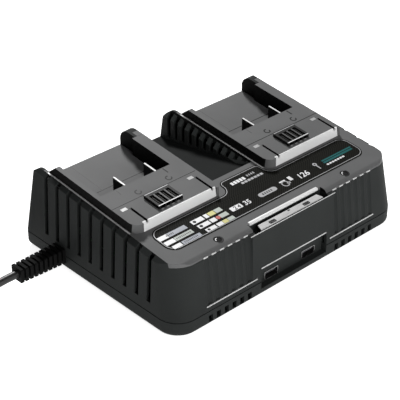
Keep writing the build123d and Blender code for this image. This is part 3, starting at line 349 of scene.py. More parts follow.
def add_noise(material, vector, grain, detail=2.0):
    """A noise texture whose grain is a size in metres."""
    noise = material.node_tree.nodes.new("ShaderNodeTexNoise")
    noise.inputs["Scale"].default_value = 1.0 / grain
    noise.inputs["Detail"].default_value = detail
    material.node_tree.links.new(vector, noise.inputs["Vector"])
    return noise.outputs["Fac"]


def add_ramp(material, factor, dark, light, low=0.3, high=0.7):
    """Two colours with a soft step between them."""
    ramp = material.node_tree.nodes.new("ShaderNodeValToRGB")
    ramp.color_ramp.elements[0].position = low
    ramp.color_ramp.elements[0].color = (*dark, 1.0)
    ramp.color_ramp.elements[1].position = high
    ramp.color_ramp.elements[1].color = (*light, 1.0)
    material.node_tree.links.new(factor, ramp.inputs["Fac"])
    return ramp.outputs["Color"]


def add_range(material, factor, low, high):
    """Map a factor from 0..1 to low..high."""
    mapped = material.node_tree.nodes.new("ShaderNodeMapRange")
    mapped.inputs["To Min"].default_value = low
    mapped.inputs["To Max"].default_value = high
    material.node_tree.links.new(factor, mapped.inputs["Value"])
    return mapped.outputs["Result"]


def add_bump(material, shader, height, depth, strength=0.5):
    """A bump of a real depth in metres on the shader's normal."""
    bump = material.node_tree.nodes.new("ShaderNodeBump")
    bump.inputs["Strength"].default_value = strength
    bump.inputs["Distance"].default_value = depth
    material.node_tree.links.new(height, bump.inputs["Height"])
    material.node_tree.links.new(bump.outputs["Normal"], shader.inputs["Normal"])


def scaled(colour, share):
    """A colour made lighter or darker."""
    return tuple(min(1.0, part * share) for part in colour)


def moulded(name, colour, roughness=0.45, grain=0.5 * MM, depth=0.02 * MM, spread=0.08, gloss=0.5):
    """Moulded or cast material: fine grain, slight cloudiness and uneven gloss."""
    material, shader, place = new_material(name)
    shader.inputs["Specular IOR Level"].default_value = gloss
    cloud = add_noise(material, place, CLOUD_GRAIN)
    fine = add_noise(material, place, grain, FINE_DETAIL)
    tint = add_ramp(material, cloud, scaled(colour, 1 - spread), scaled(colour, 1 + spread))
    links = material.node_tree.links
    links.new(tint, shader.inputs["Base Color"])
    uneven = add_range(material, fine, roughness - MOULDED_SWING, roughness + MOULDED_SWING)
    links.new(uneven, shader.inputs["Roughness"])
    add_bump(material, shader, fine, depth)
    return material


def brushed(name, colour, along="X", roughness=0.32, metallic=1.0, spread=0.18):
    """Brushed metal: fine streaks along one axis."""
    material, shader, place = new_material(name)
    stretch = material.node_tree.nodes.new("ShaderNodeMapping")
    stretch.inputs["Scale"].default_value = [STREAK_STRETCH if axis == along else 1.0 for axis in "XYZ"]
    links = material.node_tree.links
    links.new(place, stretch.inputs["Vector"])
    streak = add_noise(material, stretch.outputs["Vector"], STREAK_GRAIN, FINE_DETAIL)
    tint = add_ramp(material, streak, scaled(colour, 1 - spread), scaled(colour, 1 + spread))
    links.new(tint, shader.inputs["Base Color"])
    uneven = add_range(material, streak, roughness - BRUSHED_SWING, roughness + BRUSHED_SWING)
    links.new(uneven, shader.inputs["Roughness"])
    shader.inputs["Metallic"].default_value = metallic
    add_bump(material, shader, streak, STREAK_DEPTH, STREAK_STRENGTH)
    return material


def banded(name, dark, light, pitch, roughness=0.4, axis="Z", metallic=0.0):
    """Even bands across one axis, such as wound wire or tape."""
    material, shader, place = new_material(name)
    wave = material.node_tree.nodes.new("ShaderNodeTexWave")
    wave.bands_direction = axis
    wave.inputs["Scale"].default_value = WAVE_SPACING / pitch
    wave.inputs["Distortion"].default_value = WAVE_DISTORTION
    links = material.node_tree.links
    links.new(place, wave.inputs["Vector"])
    tint = add_ramp(material, wave.outputs["Fac"], dark, light, *BAND_STEP)
    links.new(tint, shader.inputs["Base Color"])
    shader.inputs["Roughness"].default_value = roughness
    shader.inputs["Metallic"].default_value = metallic
    add_bump(material, shader, wave.outputs["Fac"], BAND_DEPTH)
    return material


def woven_film(name, colour):
    """Printed film with a weave of small dark and light squares, nearly without gloss."""
    material, shader, place = new_material(name)
    shader.inputs["Specular IOR Level"].default_value = WEAVE_GLOSS
    checker = material.node_tree.nodes.new("ShaderNodeTexChecker")
    checker.inputs["Scale"].default_value = 1.0 / WEAVE_PITCH
    for socket, shade in zip(("Color1", "Color2"), WEAVE_SHADES):
        checker.inputs[socket].default_value = (*scaled(colour, shade), 1.0)
    links = material.node_tree.links
    links.new(place, checker.inputs["Vector"])
    links.new(checker.outputs["Color"], shader.inputs["Base Color"])
    fine = add_noise(material, place, WEAVE_GRAIN)
    links.new(add_range(material, fine, *WEAVE_ROUGHNESS), shader.inputs["Roughness"])
    add_bump(material, shader, checker.outputs["Fac"], WEAVE_DEPTH, FAINT_STRENGTH)
    return material


def clear(name, colour, roughness=0.15, transmission=0.6):
    """Clear or frosted glass and plastic with faint clouding."""
    material, shader, place = new_material(name)
    cloud = add_noise(material, place, CLEAR_GRAIN)
    links = material.node_tree.links
    tint = add_ramp(material, cloud, scaled(colour, CLEAR_DARKEST), colour)
    links.new(tint, shader.inputs["Base Color"])
    links.new(add_range(material, cloud, roughness, roughness + CLEAR_RISE), shader.inputs["Roughness"])
    shader.inputs["Transmission Weight"].default_value = transmission
    add_bump(material, shader, cloud, CLEAR_DEPTH, FAINT_STRENGTH)
    return material


def printed(name, colour, spread=0.12, roughness=PRINT_ROUGHNESS, gloss=0.5):
    """Printing ink: a thin even coat with fine grain."""
    return moulded(name, colour, roughness, PRINT_GRAIN, PRINT_DEPTH, spread, gloss)


finishes = {}


def make_finishes(colours):
    """Make all materials of the charger and keep each under a plain name."""
    housing = tuple(colours.housing)
    deck = tuple(colours.deck)
    finishes.update(
        charcoal=moulded("charcoal plastic", housing, 0.6, gloss=0.06),
        deck=moulded("grey deck plastic", deck, 0.6, gloss=0.2),
        shoulder=moulded("valley shoulder plastic", scaled(housing, SHOULDER_SHADE), 0.55, gloss=0.1),
        valley=moulded("valley floor plastic", scaled(housing, VALLEY_SHADE), 0.6, gloss=0.03),
        # A pale painted highlight for the rim beside the platforms.
        rim=moulded("pale rim line", (0.6, 0.6, 0.6), 0.4),
        # Light grey painted highlight for the front ledges and the dashes on the lip.
        bead=moulded("light grey bead", (0.5, 0.5, 0.5), 0.4),
        # Black painted shade for the upright walls inside the bays, which are grey and charcoal plastic.
        liner=moulded("black liner plastic", tuple(colours.liner), 0.7, gloss=0.05),
        black=moulded("black plastic", (0.006, 0.006, 0.006), 0.5, gloss=0.15),
        # Grey painted highlight on the tops of the black terminal blocks' ribs.
        rib=moulded("grey terminal rib", (0.06, 0.06, 0.06), 0.5, gloss=0.3),
        # White painted highlight for the fins' tops, the terminal blocks' front edges and the charge lights'
        # hollows.
        fin_edge=moulded("white fin edge", (0.8, 0.8, 0.8), 0.4),
        # White painted highlight for the lit front faces of the platforms and the hood's front edge.
        bar=moulded("white bar plastic", tuple(colours.light_bar), 0.42, 0.8 * MM, 0.01 * MM, 0.03),
        window=clear("frosted window", (0.55, 0.55, 0.55), 0.3, 0.2),
        lens=clear("dark light lens", (0.03, 0.03, 0.03), 0.08, 0.3),
        label=woven_film("label film", tuple(colours.label)),
        line=moulded("dark fine line", (0.035, 0.035, 0.035), 0.6),
        plate=brushed("brushed icon plate", (0.55, 0.55, 0.55), "X", 0.35, 0.0, 0.2),
        white=printed("white print", tuple(colours.print_white), 0.06),
        silver=printed("silver print", (0.42, 0.42, 0.43)),
        slate=printed("slate print", (0.28, 0.30, 0.35)),
        sage=printed("sage print", (0.42, 0.46, 0.42)),
        yellow=printed("yellow print", (0.60, 0.56, 0.18)),
        red=printed("red print", (0.50, 0.05, 0.03), 0.1),
        teal=printed("teal print", tuple(colours.print_teal), 0.25, 0.5, 0.1),
        # Near-black contact metal: painted shade of the slots that the blades stand in.
        contact=brushed("contact metal", (0.010, 0.0095, 0.009), "Y", 0.5),
        steel=brushed("socket steel", (0.30, 0.30, 0.30), "X", 0.32),
        tongue=moulded("socket tongue plastic", (0.03, 0.03, 0.035), 0.4),
        board=moulded("green circuit board", (0.02, 0.14, 0.05), 0.35, 0.8 * MM, 0.02 * MM, 0.2),
        ferrite=moulded("ferrite", (0.045, 0.045, 0.05), 0.6, 0.3 * MM, 0.03 * MM, 0.15),
        tape=banded("winding tape", (0.50, 0.34, 0.03), (0.72, 0.52, 0.08), 2.0 * MM),
        sleeve=moulded("capacitor sleeve", (0.02, 0.03, 0.07), 0.25, 2.0 * MM, 0.01 * MM, 0.15),
        copper=banded(
            "enamelled copper wire", (0.28, 0.10, 0.03), (0.72, 0.32, 0.12), 0.9 * MM, 0.3, "X", 1.0
        ),
        sink=brushed("extruded aluminium", (0.70, 0.71, 0.72), "Y", 0.35),
        glass=clear("fuse glass", (0.85, 0.9, 0.9), 0.05, 0.8),
        foot=moulded("foot rubber", (0.02, 0.02, 0.02), 0.8, 0.6 * MM, 0.05 * MM, 0.15),
        screw=brushed("zinc plated screw", (0.45, 0.45, 0.46), "Z", 0.35),
        boot=moulded("soft black boot", (0.005, 0.005, 0.005), 0.65, 0.5 * MM, 0.03 * MM, 0.15, 0.05),
        lead=moulded("lead sheath", tuple(colours.lead), 0.42, 0.8 * MM, 0.02 * MM, 0.15),
        tie=moulded("tie strap", (0.06, 0.06, 0.06), 0.45),
        plug=moulded("plug plastic", (0.016, 0.016, 0.016), 0.45),
        pin=brushed("nickel plated pin", (0.66, 0.63, 0.56), "X", 0.25),
    )


# ==== Studio ============================================================================
# Places and sizes here are in metres, the lens and the sensor in millimetres.
CAMERA_PLACE = (-0.59669, -0.62374, 0.57090)
CAMERA_RIGHT = (0.7314, -0.6820, 0.0)
CAMERA_UP = (0.3624, 0.3886, 0.8471)
CAMERA_BACK = (-0.5777, -0.6196, 0.5314)
CAMERA_LENS = 116.28
CAMERA_REACH = 50.0
SENSOR_WIDTH = 36.0
# Each lamp: name, place, size, power.
STUDIO_LAMPS = (
    ("key_light", (0.83, 1.36, 1.49), 0.34, 44.0),
    ("front_light", (-0.20, -1.25, 0.55), 0.8, 11.0),
)
LAMP_AIM = (0.0, 0.0, 0.04)
WHITE = (1.0, 1.0, 1.0, 1.0)
SKY_STRENGTH = 0.09
FLOOR_GLOW = 0.85
FLOOR_HALF = 6.0
FLOOR_CUTS = 4
FLOOR_DARK = (0.90, 0.90, 0.90)
FLOOR_LIGHT = (0.93, 0.93, 0.93)
FLOOR_GRAIN = 0.4
FLOOR_ROUGHNESS = (0.85, 0.95)


def add_lamp(name, place, size, power):
    """A soft square lamp aimed at the charger."""
    leave_edit_mode()
    bpy.ops.object.light_add(type="AREA", location=place)
    lamp = bpy.context.object
    lamp.name = name
    lamp.data.size = size
    lamp.data.energy = power
    heading = Vector(LAMP_AIM) - Vector(place)
    lamp.rotation_euler = heading.to_track_quat("-Z", "Y").to_euler()


class CHARGER_OT_studio(bpy.types.Operator):
    """Set up the camera, the soft lamps, the sky and the pale floor"""

    bl_idname = "charger.studio"
    bl_label = "Studio"

    def execute(self, context):
        leave_edit_mode()
        bpy.ops.object.camera_add(location=CAMERA_PLACE)
        camera = context.object
        camera.name = "studio_camera"
        turn = Matrix((CAMERA_RIGHT, CAMERA_UP, CAMERA_BACK)).transposed()
        camera.rotation_euler = turn.to_euler()
        camera.data.lens = CAMERA_LENS
        camera.data.sensor_width = SENSOR_WIDTH
        camera.data.clip_end = CAMERA_REACH
        context.scene.camera = camera
        for lamp in STUDIO_LAMPS:
            add_lamp(*lamp)
        world = bpy.data.worlds.new("studio sky")
        world.use_nodes = True
        sky = world.node_tree.nodes["Background"]
        sky.inputs["Color"].default_value = WHITE
        sky.inputs["Strength"].default_value = SKY_STRENGTH
        context.scene.world = world
        context.scene.view_settings.view_transform = "Standard"
        leave_edit_mode()
        bpy.ops.mesh.primitive_plane_add(size=2 * FLOOR_HALF)
        floor = context.object
        floor.name = "studio_floor"
        bpy.ops.object.mode_set(mode="EDIT")
        bpy.ops.mesh.select_all(action="SELECT")
        bpy.ops.mesh.subdivide(number_cuts=FLOOR_CUTS)
        bpy.ops.object.mode_set(mode="OBJECT")
        material, shader, place = new_material("pale floor")
        cloud = add_noise(material, place, FLOOR_GRAIN)
        links = material.node_tree.links
        tint = add_ramp(material, cloud, FLOOR_DARK, FLOOR_LIGHT)
        links.new(tint, shader.inputs["Base Color"])
        links.new(add_range(material, cloud, *FLOOR_ROUGHNESS), shader.inputs["Roughness"])
        shader.inputs["Emission Color"].default_value = WHITE
        shader.inputs["Emission Strength"].default_value = FLOOR_GLOW
        floor.data.materials.append(material)
        return {"FINISHED"}


# ==== Mains lead ========================================================================
def coil_point(turns):
    """A point of the coil: a flat layer inwards, one outwards on it, and part of a third."""
    climb_in = COIL_LAYER_TURNS
    second = climb_in + COIL_CLIMB_TURNS
    climb_out = second + COIL_LAYER_TURNS
    third = climb_out + COIL_CLIMB_TURNS
    inner = COIL_OUTER - COIL_PITCH * COIL_LAYER_TURNS
    if turns < climb_in:
        radius = COIL_OUTER - COIL_PITCH * turns
        layer = 0.0
    elif turns < second:
        radius = inner
        layer = (turns - climb_in) / COIL_CLIMB_TURNS
    elif turns < climb_out:
        radius = inner + COIL_PITCH * (turns - second)
        layer = 1.0
    elif turns < third:
        radius = COIL_OUTER
        layer = 1.0 + (turns - climb_out) / COIL_CLIMB_TURNS
    else:
        radius = COIL_OUTER
        layer = 2.0
    angle = math.radians(COIL_START_ANGLE - 360.0 * turns)
    # Control points stand a little outside the line that they give.
    radius /= math.cos(math.pi / COIL_POINTS_PER_TURN)
    return (
        COIL_CENTRE[0] + radius * math.cos(angle),
        COIL_CENTRE[1] + radius * math.sin(angle),
        COIL_FLOOR + COIL_PITCH * layer,
    )


class CHARGER_OT_lead(bpy.types.Operator):
    """Lay the mains lead: out of the boot, down to the floor, round the tied coil and on to the plug"""

    bl_idname = "charger.lead"
    bl_label = "Mains Lead"

    def execute(self, context):
        steps = round(COIL_TURNS * COIL_POINTS_PER_TURN)
        coil = [coil_point(COIL_TURNS * step / steps) for step in range(steps + 1)]
        points = [*LEAD_ROUTE, *coil, *TAIL_ROUTE]
        curve = bpy.data.curves.new("mains_lead", "CURVE")
        curve.dimensions = "3D"
        curve.bevel_depth = context.scene.charger_sizes.lead_radius
        curve.bevel_resolution = LEAD_BEVEL_STEPS
        curve.use_fill_caps = True
        line = curve.splines.new("NURBS")
        line.points.add(len(points) - 1)
        for control, point in zip(line.points, points):
            control.co = (*(Vector(point) * MM), 1.0)
        line.order_u = LEAD_ORDER
        line.use_endpoint_u = True
        line.resolution_u = LEAD_STEPS
        lead = bpy.data.objects.new("mains_lead", curve)
        context.scene.collection.objects.link(lead)
        curve.materials.append(finishes["lead"])
        finish_piece(lead, "charger", "cord_pvc", "mains_cord", "cord_coil", "cord_tail")
        dress_node("strain_relief", finishes["boot"])
        dress_node("coil_tie", finishes["tie"])
        dress_node("plug", finishes["plug"])
        dress_node("plug_pins", finishes["pin"])
        return {"FINISHED"}


# ==== Moulded shells ====================================================================
# Height above the bay floor, in millimetres, under which faces count as floor and over which walls take
# painted shade.
LINER_CLEARANCE = 0.6
LOBE_HALF = 47.0
NOSE_FRONT = 50.0
# The valley between the bays: half widths of its floor and of its top, its front, and its lowest level.
VALLEY_FLOOR_HALF = 17.2
VALLEY_TOP_HALF = 21.3
VALLEY_FRONT = -21.0
VALLEY_LOWEST = 44.0
SHOULDER_NORMAL = 0.35
SHELL_SLOTS = ("charcoal", "deck", "liner", "valley", "shoulder")


def in_bay(centre_mm):
    """Whether a face centre lies over one of the two bays."""
    return any(abs(centre_mm.x - centre) < LOBE_HALF for centre in BAY_CENTRES)


def in_valley(centre_mm):
    """Whether a face centre lies in the valley between the bays."""
    inside = abs(centre_mm.x) < VALLEY_TOP_HALF and centre_mm.y > VALLEY_FRONT
    return inside and centre_mm.z > VALLEY_LOWEST


def shell_slot(centre_mm, normal):
    """Which of the shell's finishes a face takes."""
    # The valley floor takes darker charcoal as painted shade, its sloping shoulders lighter charcoal as
    # painted light.
    if in_valley(centre_mm) and abs(centre_mm.x) < VALLEY_FLOOR_HALF and normal.z > LEVEL_NORMAL:
        return SHELL_SLOTS.index("valley")
    if in_valley(centre_mm) and SHOULDER_NORMAL < normal.z < LEVEL_NORMAL:
        return SHELL_SLOTS.index("shoulder")
    if in_bay(centre_mm) and centre_mm.y > NOSE_FRONT:
        above_floor = centre_mm.z - BAY_FLOOR_LEVEL - DECK_SLOPE * centre_mm.y
        if normal.z > LEVEL_NORMAL and abs(above_floor) < LINER_CLEARANCE:
            return SHELL_SLOTS.index("deck")
        # Upright walls above the bay floor take black painted shade.
        if abs(normal.x) > WALL_NORMAL and above_floor > LINER_CLEARANCE:
            return SHELL_SLOTS.index("liner")
    return SHELL_SLOTS.index("charcoal")


class CHARGER_OT_shells(bpy.types.Operator):
    """Round the edges of the housing and base, and give them their charcoal grain"""

    bl_idname = "charger.shells"
    bl_label = "Housing and Base"

    def execute(self, context):
        rounding = context.scene.charger_sizes.edge_rounding
        for node in ("housing", "base_tray"):
            shell = merged_copy(node, node + "_shell")
            for finish in SHELL_SLOTS:
                shell.data.materials.append(finishes[finish])
            for face in shell.data.polygons:
                face.material_index = shell_slot(face.center / MM, face.normal)
            round_edges(shell, rounding)
            finish_piece(shell, "charger", "charcoal_plastic", node)
        return {"FINISHED"}


class CHARGER_OT_cover(bpy.types.Operator):
    """Round the edges of the top cover, and paint black shade on its upright inner walls in the bays"""

    bl_idname = "charger.cover"
    bl_label = "Top Cover"

    def execute(self, context):
        cover = merged_copy("top_cover", "deck_cover")
        cover.data.materials.append(finishes["deck"])
        cover.data.materials.append(finishes["liner"])
        for face in cover.data.polygons:
            centre = face.center / MM
            upright = abs(face.normal.z) < UPRIGHT_NORMAL
            above_deck = centre.z > BAY_FLOOR_LEVEL + DECK_SLOPE * centre.y + LINER_CLEARANCE
            sideways = abs(face.normal.x) > WALL_NORMAL
            # Upright sideways walls in the bays take black painted shade.
            if upright and sideways and above_deck and in_bay(centre):
                face.material_index = 1
        round_edges(cover, context.scene.charger_sizes.edge_rounding)
        finish_piece(cover, "charger", "grey_plastic", "top_cover")
        return {"FINISHED"}


# ==== Label =============================================================================
LABEL_FRAME_INSET = 0.9
LABEL_FRAME_WIDTH = 0.5


class CHARGER_OT_label(bpy.types.Operator):
    """Give the label film its weave and its thin light frame line"""

    bl_idname = "charger.label"
    bl_label = "Label Film"

    def execute(self, context):
        film = merged_copy("label_overlay", "label_film", join_flats=True)
        film.data.materials.append(finishes["label"])
        film.data.materials.append(finishes["silver"])
        level_faces = [face for face in film.data.polygons if face.normal.z > LEVEL_NORMAL]
        upper = max(level_faces, key=lambda face: face.center.z * face.area)
        for part in (*film.data.polygons, *film.data.edges, *film.data.vertices):
            part.select = False
        upper.select = True
        bpy.ops.object.mode_set(mode="EDIT")
        bpy.ops.mesh.select_mode(type="FACE")
        bpy.ops.mesh.inset(thickness=LABEL_FRAME_INSET * MM, use_even_offset=True)
        bpy.ops.object.mode_set(mode="OBJECT")
        before = len(film.data.polygons)
        bpy.ops.object.mode_set(mode="EDIT")
        bpy.ops.mesh.inset(thickness=LABEL_FRAME_WIDTH * MM, use_even_offset=True)
        bpy.ops.object.mode_set(mode="OBJECT")
        for face in film.data.polygons[before:]:
            face.material_index = 1
        for face in film.data.polygons:
            if face.select:
                face.material_index = 0
        finish_piece(film, "charger", "label_film", "label_overlay")
        return {"FINISHED"}


# Rows of the status key: middle y, depth, then x, width, finish of each cell.
KEY_ROWS = (
    (
        (-49.8, 4.4),
        (
            (-97.4, 8.4, "white"),
            (-84.1, 17.4, "slate"),
            (-64.2, 11.2, "white"),
            (-55.5, 3.4, "white"),
            (-50.2, 6.0, "yellow"),
            (-43.6, 6.2, "sage"),
        ),
    ),
    (
        (-56.4, 4.2),
        (
            (-96.6, 9.0, "white"),
            (-83.4, 16.6, "sage"),
            (-63.6, 11.0, "white"),
            (-54.4, 5.2, "white"),
            (-44.0, 7.6, "sage"),
        ),
    ),
    (
        (-62.7, 3.6),
        (
            (-95.2, 8.0, "white"),
            (-81.4, 17.6, "slate"),
            (-62.4, 9.6, "white"),
            (-53.6, 5.6, "white"),
            (-48.2, 4.6, "yellow"),
            (-42.6, 6.0, "sage"),
        ),
    ),
)
DOT_BORE = 0.05
# Small dots on the cells: x, y, outer radius, finish.
KEY_DOTS = (
    (-67.0, -49.8, 1.4, "black"),
    (-66.4, -56.4, 1.4, "black"),
    (-64.6, -62.7, 1.2, "black"),
    (-49.6, -56.4, 1.9, "red"),
)
# Lines of small bars that stand where a maker prints words: first x, y, width, depth, pitch, count, finish.
WORD_BARS = (
    (-12.4, -32.6, 2.3, 3.4, 3.0, 5, "white"),
    (4.4, -31.6, 1.2, 2.2, 2.2, 4, "silver"),
    (-5.0, -36.6, 2.6, 2.2, 3.3, 7, "silver"),
    (65.8, -59.1, 2.2, 1.7, 2.9, 7, "white"),
    (-94.0, -49.8, 0.7, 1.6, 1.5, 5, "line"),
    (-90.0, -56.4, 0.7, 1.6, 1.6, 9, "line"),
    (-88.0, -62.7, 0.7, 1.5, 1.5, 9, "line"),
)
# Plain tiles: x, y, width, depth, corner, finish.
LABEL_TILES = (
    (-30.6, -55.7, 11.0, 4.8, 0.8, "white"),
    (1.9, -56.1, 18.6, 4.8, 2.3, "silver"),
    (20.2, -53.4, 6.2, 1.5, 0.6, "white"),
    (28.0, -54.2, 3.2, 5.0, 0.5, "white"),
    (23.4, -57.6, 3.0, 2.2, 0.5, "silver"),
    (57.0, -56.6, 1.1, 6.4, 0.3, "silver"),
    (81.4, -53.3, 33.6, 1.5, 0.3, "teal"),
    (80.9, -55.7, 33.0, 2.0, 0.3, "teal"),
)
BADGE_BARS = (-3.0, -56.1, 1.3, 2.0, 2.2, 5, "line")
LABEL_RINGS = (
    (20.4, -57.0, (2.5, 3.4), "silver"),
    (57.0, -53.0, (0.9, 1.9), "silver"),
)
# Plain figures: text, x, y, height, finish.
LABEL_FIGURES = (
    ("2", -33.2, -57.6, 5.4, "line"),
    ("4", -29.4, -57.6, 5.4, "line"),
    ("35", -23.2, -58.2, 6.8, "white"),
    ("126", 33.6, -59.6, 8.0, "white"),
)
FIGURE_SHEAR = 0.12
FIGURE_BOLDNESS = 0.12


def place_tiles(rows, level):
    """Tiles on a sloping level from rows of x, y, width, depth, corner and finish."""
    return [
        add_tile("mark", (width, depth), deck_matrix(x, y, level), finishes[finish], corner)
        for x, y, width, depth, corner, finish in rows
    ]


def place_bars(rows, level):
    """Even lines of small bars on a sloping level."""
    bars = []
    for first, y, width, depth, pitch, count, finish in rows:
        for step in range(count):
            place = deck_matrix(first + pitch * step, y, level)
            bars.append(add_tile("bar", (width, depth), place, finishes[finish]))
    return bars


def add_figures(text, x, y, height, level, material):
    """Plain figures, slightly slanted, lying on a sloping level."""
    leave_edit_mode()
    bpy.ops.object.text_add()
    figures = bpy.context.object
    figures.data.body = text
    figures.data.size = height * MM
    figures.data.shear = FIGURE_SHEAR
    figures.data.offset = FIGURE_BOLDNESS * MM
    figures.data.extrude = bpy.context.scene.charger_sizes.print_thickness
    figures.data.materials.append(material)
    bpy.ops.object.convert(target="MESH")
    sink_place(figures, deck_matrix(x, y, level))
    return figures


class CHARGER_OT_print(bpy.types.Operator):
    """Print the generic status key, bars, figures and stripes on the label film"""

    bl_idname = "charger.print"
    bl_label = "Label Print"

    def execute(self, context):
        upper = LABEL_LEVEL + context.scene.charger_sizes.print_thickness / MM
        marks = []
        for (y, depth), cells in KEY_ROWS:
            rows = [(x, y, width, depth, 0.0, finish) for x, width, finish in cells]
            marks.extend(place_tiles(rows, LABEL_LEVEL))
        for x, y, radius, finish in KEY_DOTS:
            marks.append(add_ring("dot", (DOT_BORE, radius), deck_matrix(x, y, upper), finishes[finish]))
        marks.extend(place_tiles(LABEL_TILES, LABEL_LEVEL))
        marks.extend(place_bars(WORD_BARS, upper))
        marks.extend(place_bars((BADGE_BARS,), upper))
        for x, y, radii, finish in LABEL_RINGS:
            marks.append(add_ring("ring", radii, deck_matrix(x, y, LABEL_LEVEL), finishes[finish]))
        for text, x, y, height, finish in LABEL_FIGURES:
            marks.append(add_figures(text, x, y, height, upper, finishes[finish]))
        finish_piece(join_tiles(marks, "label_print"), "charger", "label_film")
        return {"FINISHED"}


# ==== Lines, marks and painted light on the cover =======================================
# x from the bay's centre, y, width, depth, corner, finish.
PLATFORM_TILES = (
    (-3.3, -10.5, 81.0, 0.6, 0.0, "black"),
    (-26.4, 3.2, 0.7, 6.2, 0.0, "line"),
    (19.5, 3.2, 1.2, 6.2, 0.0, "black"),
    (35.3, 54.0, 4.6, 6.0, 0.0, "deck"),
)
PLATFORM_RINGS = (
    (-14.6, -5.2, (1.8, 2.9)),
    (15.2, -5.4, (1.8, 2.9)),
)
PLATFORM_RING_TURN = 290.0
# Arcs round each charge light's hollow, a black one as painted shade and a white one as painted highlight:
# radii, first angle, turn, finish.
LAMP_Y = -74.8
LAMP_ARCS = (
    ((2.9, 4.2), 40.0, 170.0, "black"),
    ((1.6, 2.3), 190.0, 110.0, "fin_edge"),
)
# Plain socket pictograms and a small notch on the icon plate.
PLATE_LEVEL = 65.2
PLATE_TILES = (
    (-19.2, -82.0, 6.6, 3.0, 0.7, "black"),
    (-19.2, -82.0, 4.8, 1.4, 0.3, "silver"),
    (16.7, -82.0, 6.6, 3.0, 0.7, "black"),
    (16.7, -82.0, 4.8, 1.4, 0.3, "silver"),
    (0.0, -79.9, 2.2, 1.2, 0.0, "black"),
)
FLOOR_TILES = (
    (-20.5, 48.0, 0.4, 37.0, 0.0, "line"),
    (0.8, 29.3, 53.6, 0.7, 0.0, "black"),
)
# Painted highlights on the front and rear edges, and on the ribs between the four slots.
BLOCK_TILES = (
    (-4.9, -29.9, 23.0, 0.9, 0.2, "fin_edge"),
    (-4.9, -14.1, 22.6, 0.6, 0.0, "silver"),
    (-10.0, -23.4, 1.3, 12.6, 0.0, "rib"),
    (-4.9, -23.4, 1.3, 12.6, 0.0, "rib"),
    (0.2, -23.4, 1.3, 12.6, 0.0, "rib"),
)
# A pale painted highlight along the deck's rim beside each platform.
RIM_TILES = ((-45.3, 15.5, 1.2, 95.0, 0.0, "rim"),)


class CHARGER_OT_cover_marks(bpy.types.Operator):
    """Draw the fine lines and plain marks, and the painted highlights and painted shade, on the platforms,
    deck rims, bay floors, terminal blocks and round the charge lights
    """

    bl_idname = "charger.cover_marks"
    bl_label = "Cover Lines and Marks"

    def execute(self, context):
        marks = []
        for centre in BAY_CENTRES:
            for tiles, level in (
                (PLATFORM_TILES, PLATFORM_LEVEL),
                (FLOOR_TILES, BAY_FLOOR_LEVEL),
                (BLOCK_TILES, BLOCK_LEVEL),
                (RIM_TILES, DECK_LEVEL),
            ):
                marks.extend(place_tiles([(centre + row[0], *row[1:]) for row in tiles], level))
            for x, y, radii in PLATFORM_RINGS:
                place = deck_matrix(centre + x, y, PLATFORM_LEVEL)
                marks.append(add_ring("mark", radii, place, finishes["black"], PLATFORM_RING_TURN))
            # Painted shade and painted highlight round the charge light's hollow.
            for radii, start, turn, finish in LAMP_ARCS:
                place = deck_matrix(centre, LAMP_Y, DECK_LEVEL) @ Matrix.Rotation(math.radians(start), 4, "Z")
                marks.append(add_ring("arc", radii, place, finishes[finish], turn))
        marks.extend(place_tiles(PLATE_TILES, PLATE_LEVEL))
        finish_piece(join_tiles(marks, "cover_marks"), "charger", "grey_plastic")
        return {"FINISHED"}


# ==== Painted highlight strips on the front =============================================
# Painted highlights: a white strip along the hood's edge, thin lines along the ledges and dashes on the lip.
# middle x, y, z, then width, depth, height.
HOOD_STRIP = ((-0.4, -74.9, 58.8), (72.8, 3.0, 2.2))
LEDGE_STRIPS = (
    ((-64.8, -87.85, 18.2), (51.0, 0.6, 1.0)),
    ((64.8, -87.85, 18.2), (51.0, 0.6, 1.0)),
    ((0.0, -87.5, 25.3), (70.4, 0.6, 1.0)),
    ((0.0, -85.6, 56.2), (90.0, 0.4, 0.6)),
)
# Dashes of painted highlight on the tops of the front flutes.
BEAD_FIRST = 47.3
BEAD_PITCH = 7.84
BEAD_COUNT = 6
BEAD_PLACE = (-82.4, 56.6)
BEAD_SIZE = (4.4, 0.8, 0.9)
# A strip's edges are rounded by its slimmest side over this.
STRIP_EDGE_PARTS = 3


def add_strip(name, place, size, material, tilt=0.0):
    """A slim bar with rounded edges; its middle and size are in millimetres."""
    leave_edit_mode()
    bpy.ops.mesh.primitive_cube_add(size=1.0)
    strip = bpy.context.object
    strip.name = name
    bpy.ops.object.mode_set(mode="EDIT")
    bpy.ops.mesh.select_all(action="SELECT")
    bpy.ops.transform.resize(value=[side * MM for side in size])
    bpy.ops.mesh.bevel(offset=min(size) * MM / STRIP_EDGE_PARTS, segments=EDGE_SEGMENTS, affect="EDGES")
    bpy.ops.object.mode_set(mode="OBJECT")
    bpy.ops.object.shade_smooth_by_angle(angle=math.radians(SMOOTH_ANGLE))
    sink_place(strip, Matrix.Translation(Vector(place) * MM) @ Matrix.Rotation(tilt, 4, "X"))
    strip.data.materials.append(material)
    return strip


class CHARGER_OT_front_strips(bpy.types.Operator):
    """Add the painted highlights of the front: a white strip on the hood's edge, dashes on the lip and thin
    lines on the ledges
    """

    bl_idname = "charger.front_strips"
    bl_label = "Front Strips"

    def execute(self, context):
        strips = [add_strip("hood_strip", *HOOD_STRIP, finishes["bar"], DECK_TILT)]
        for place, size in LEDGE_STRIPS:
            strips.append(add_strip("ledge", place, size, finishes["bead"]))
        for side in (-1, 1):
            for step in range(BEAD_COUNT):
                place = (side * (BEAD_FIRST + BEAD_PITCH * step), *BEAD_PLACE)
                strips.append(add_strip("bead", place, BEAD_SIZE, finishes["bead"]))
        finish_piece(join_tiles(strips, "front_strips"), "charger", "light_plastic")
        return {"FINISHED"}


# ==== Small moulded parts ===============================================================
BAR_ROUNDING = 0.25 * MM
BLOCK_ROUNDING = 0.2 * MM
FIN_ROUNDING = 0.15 * MM
PLATE_ROUNDING = 0.2 * MM
SOCKET_ROUNDING = 0.12 * MM


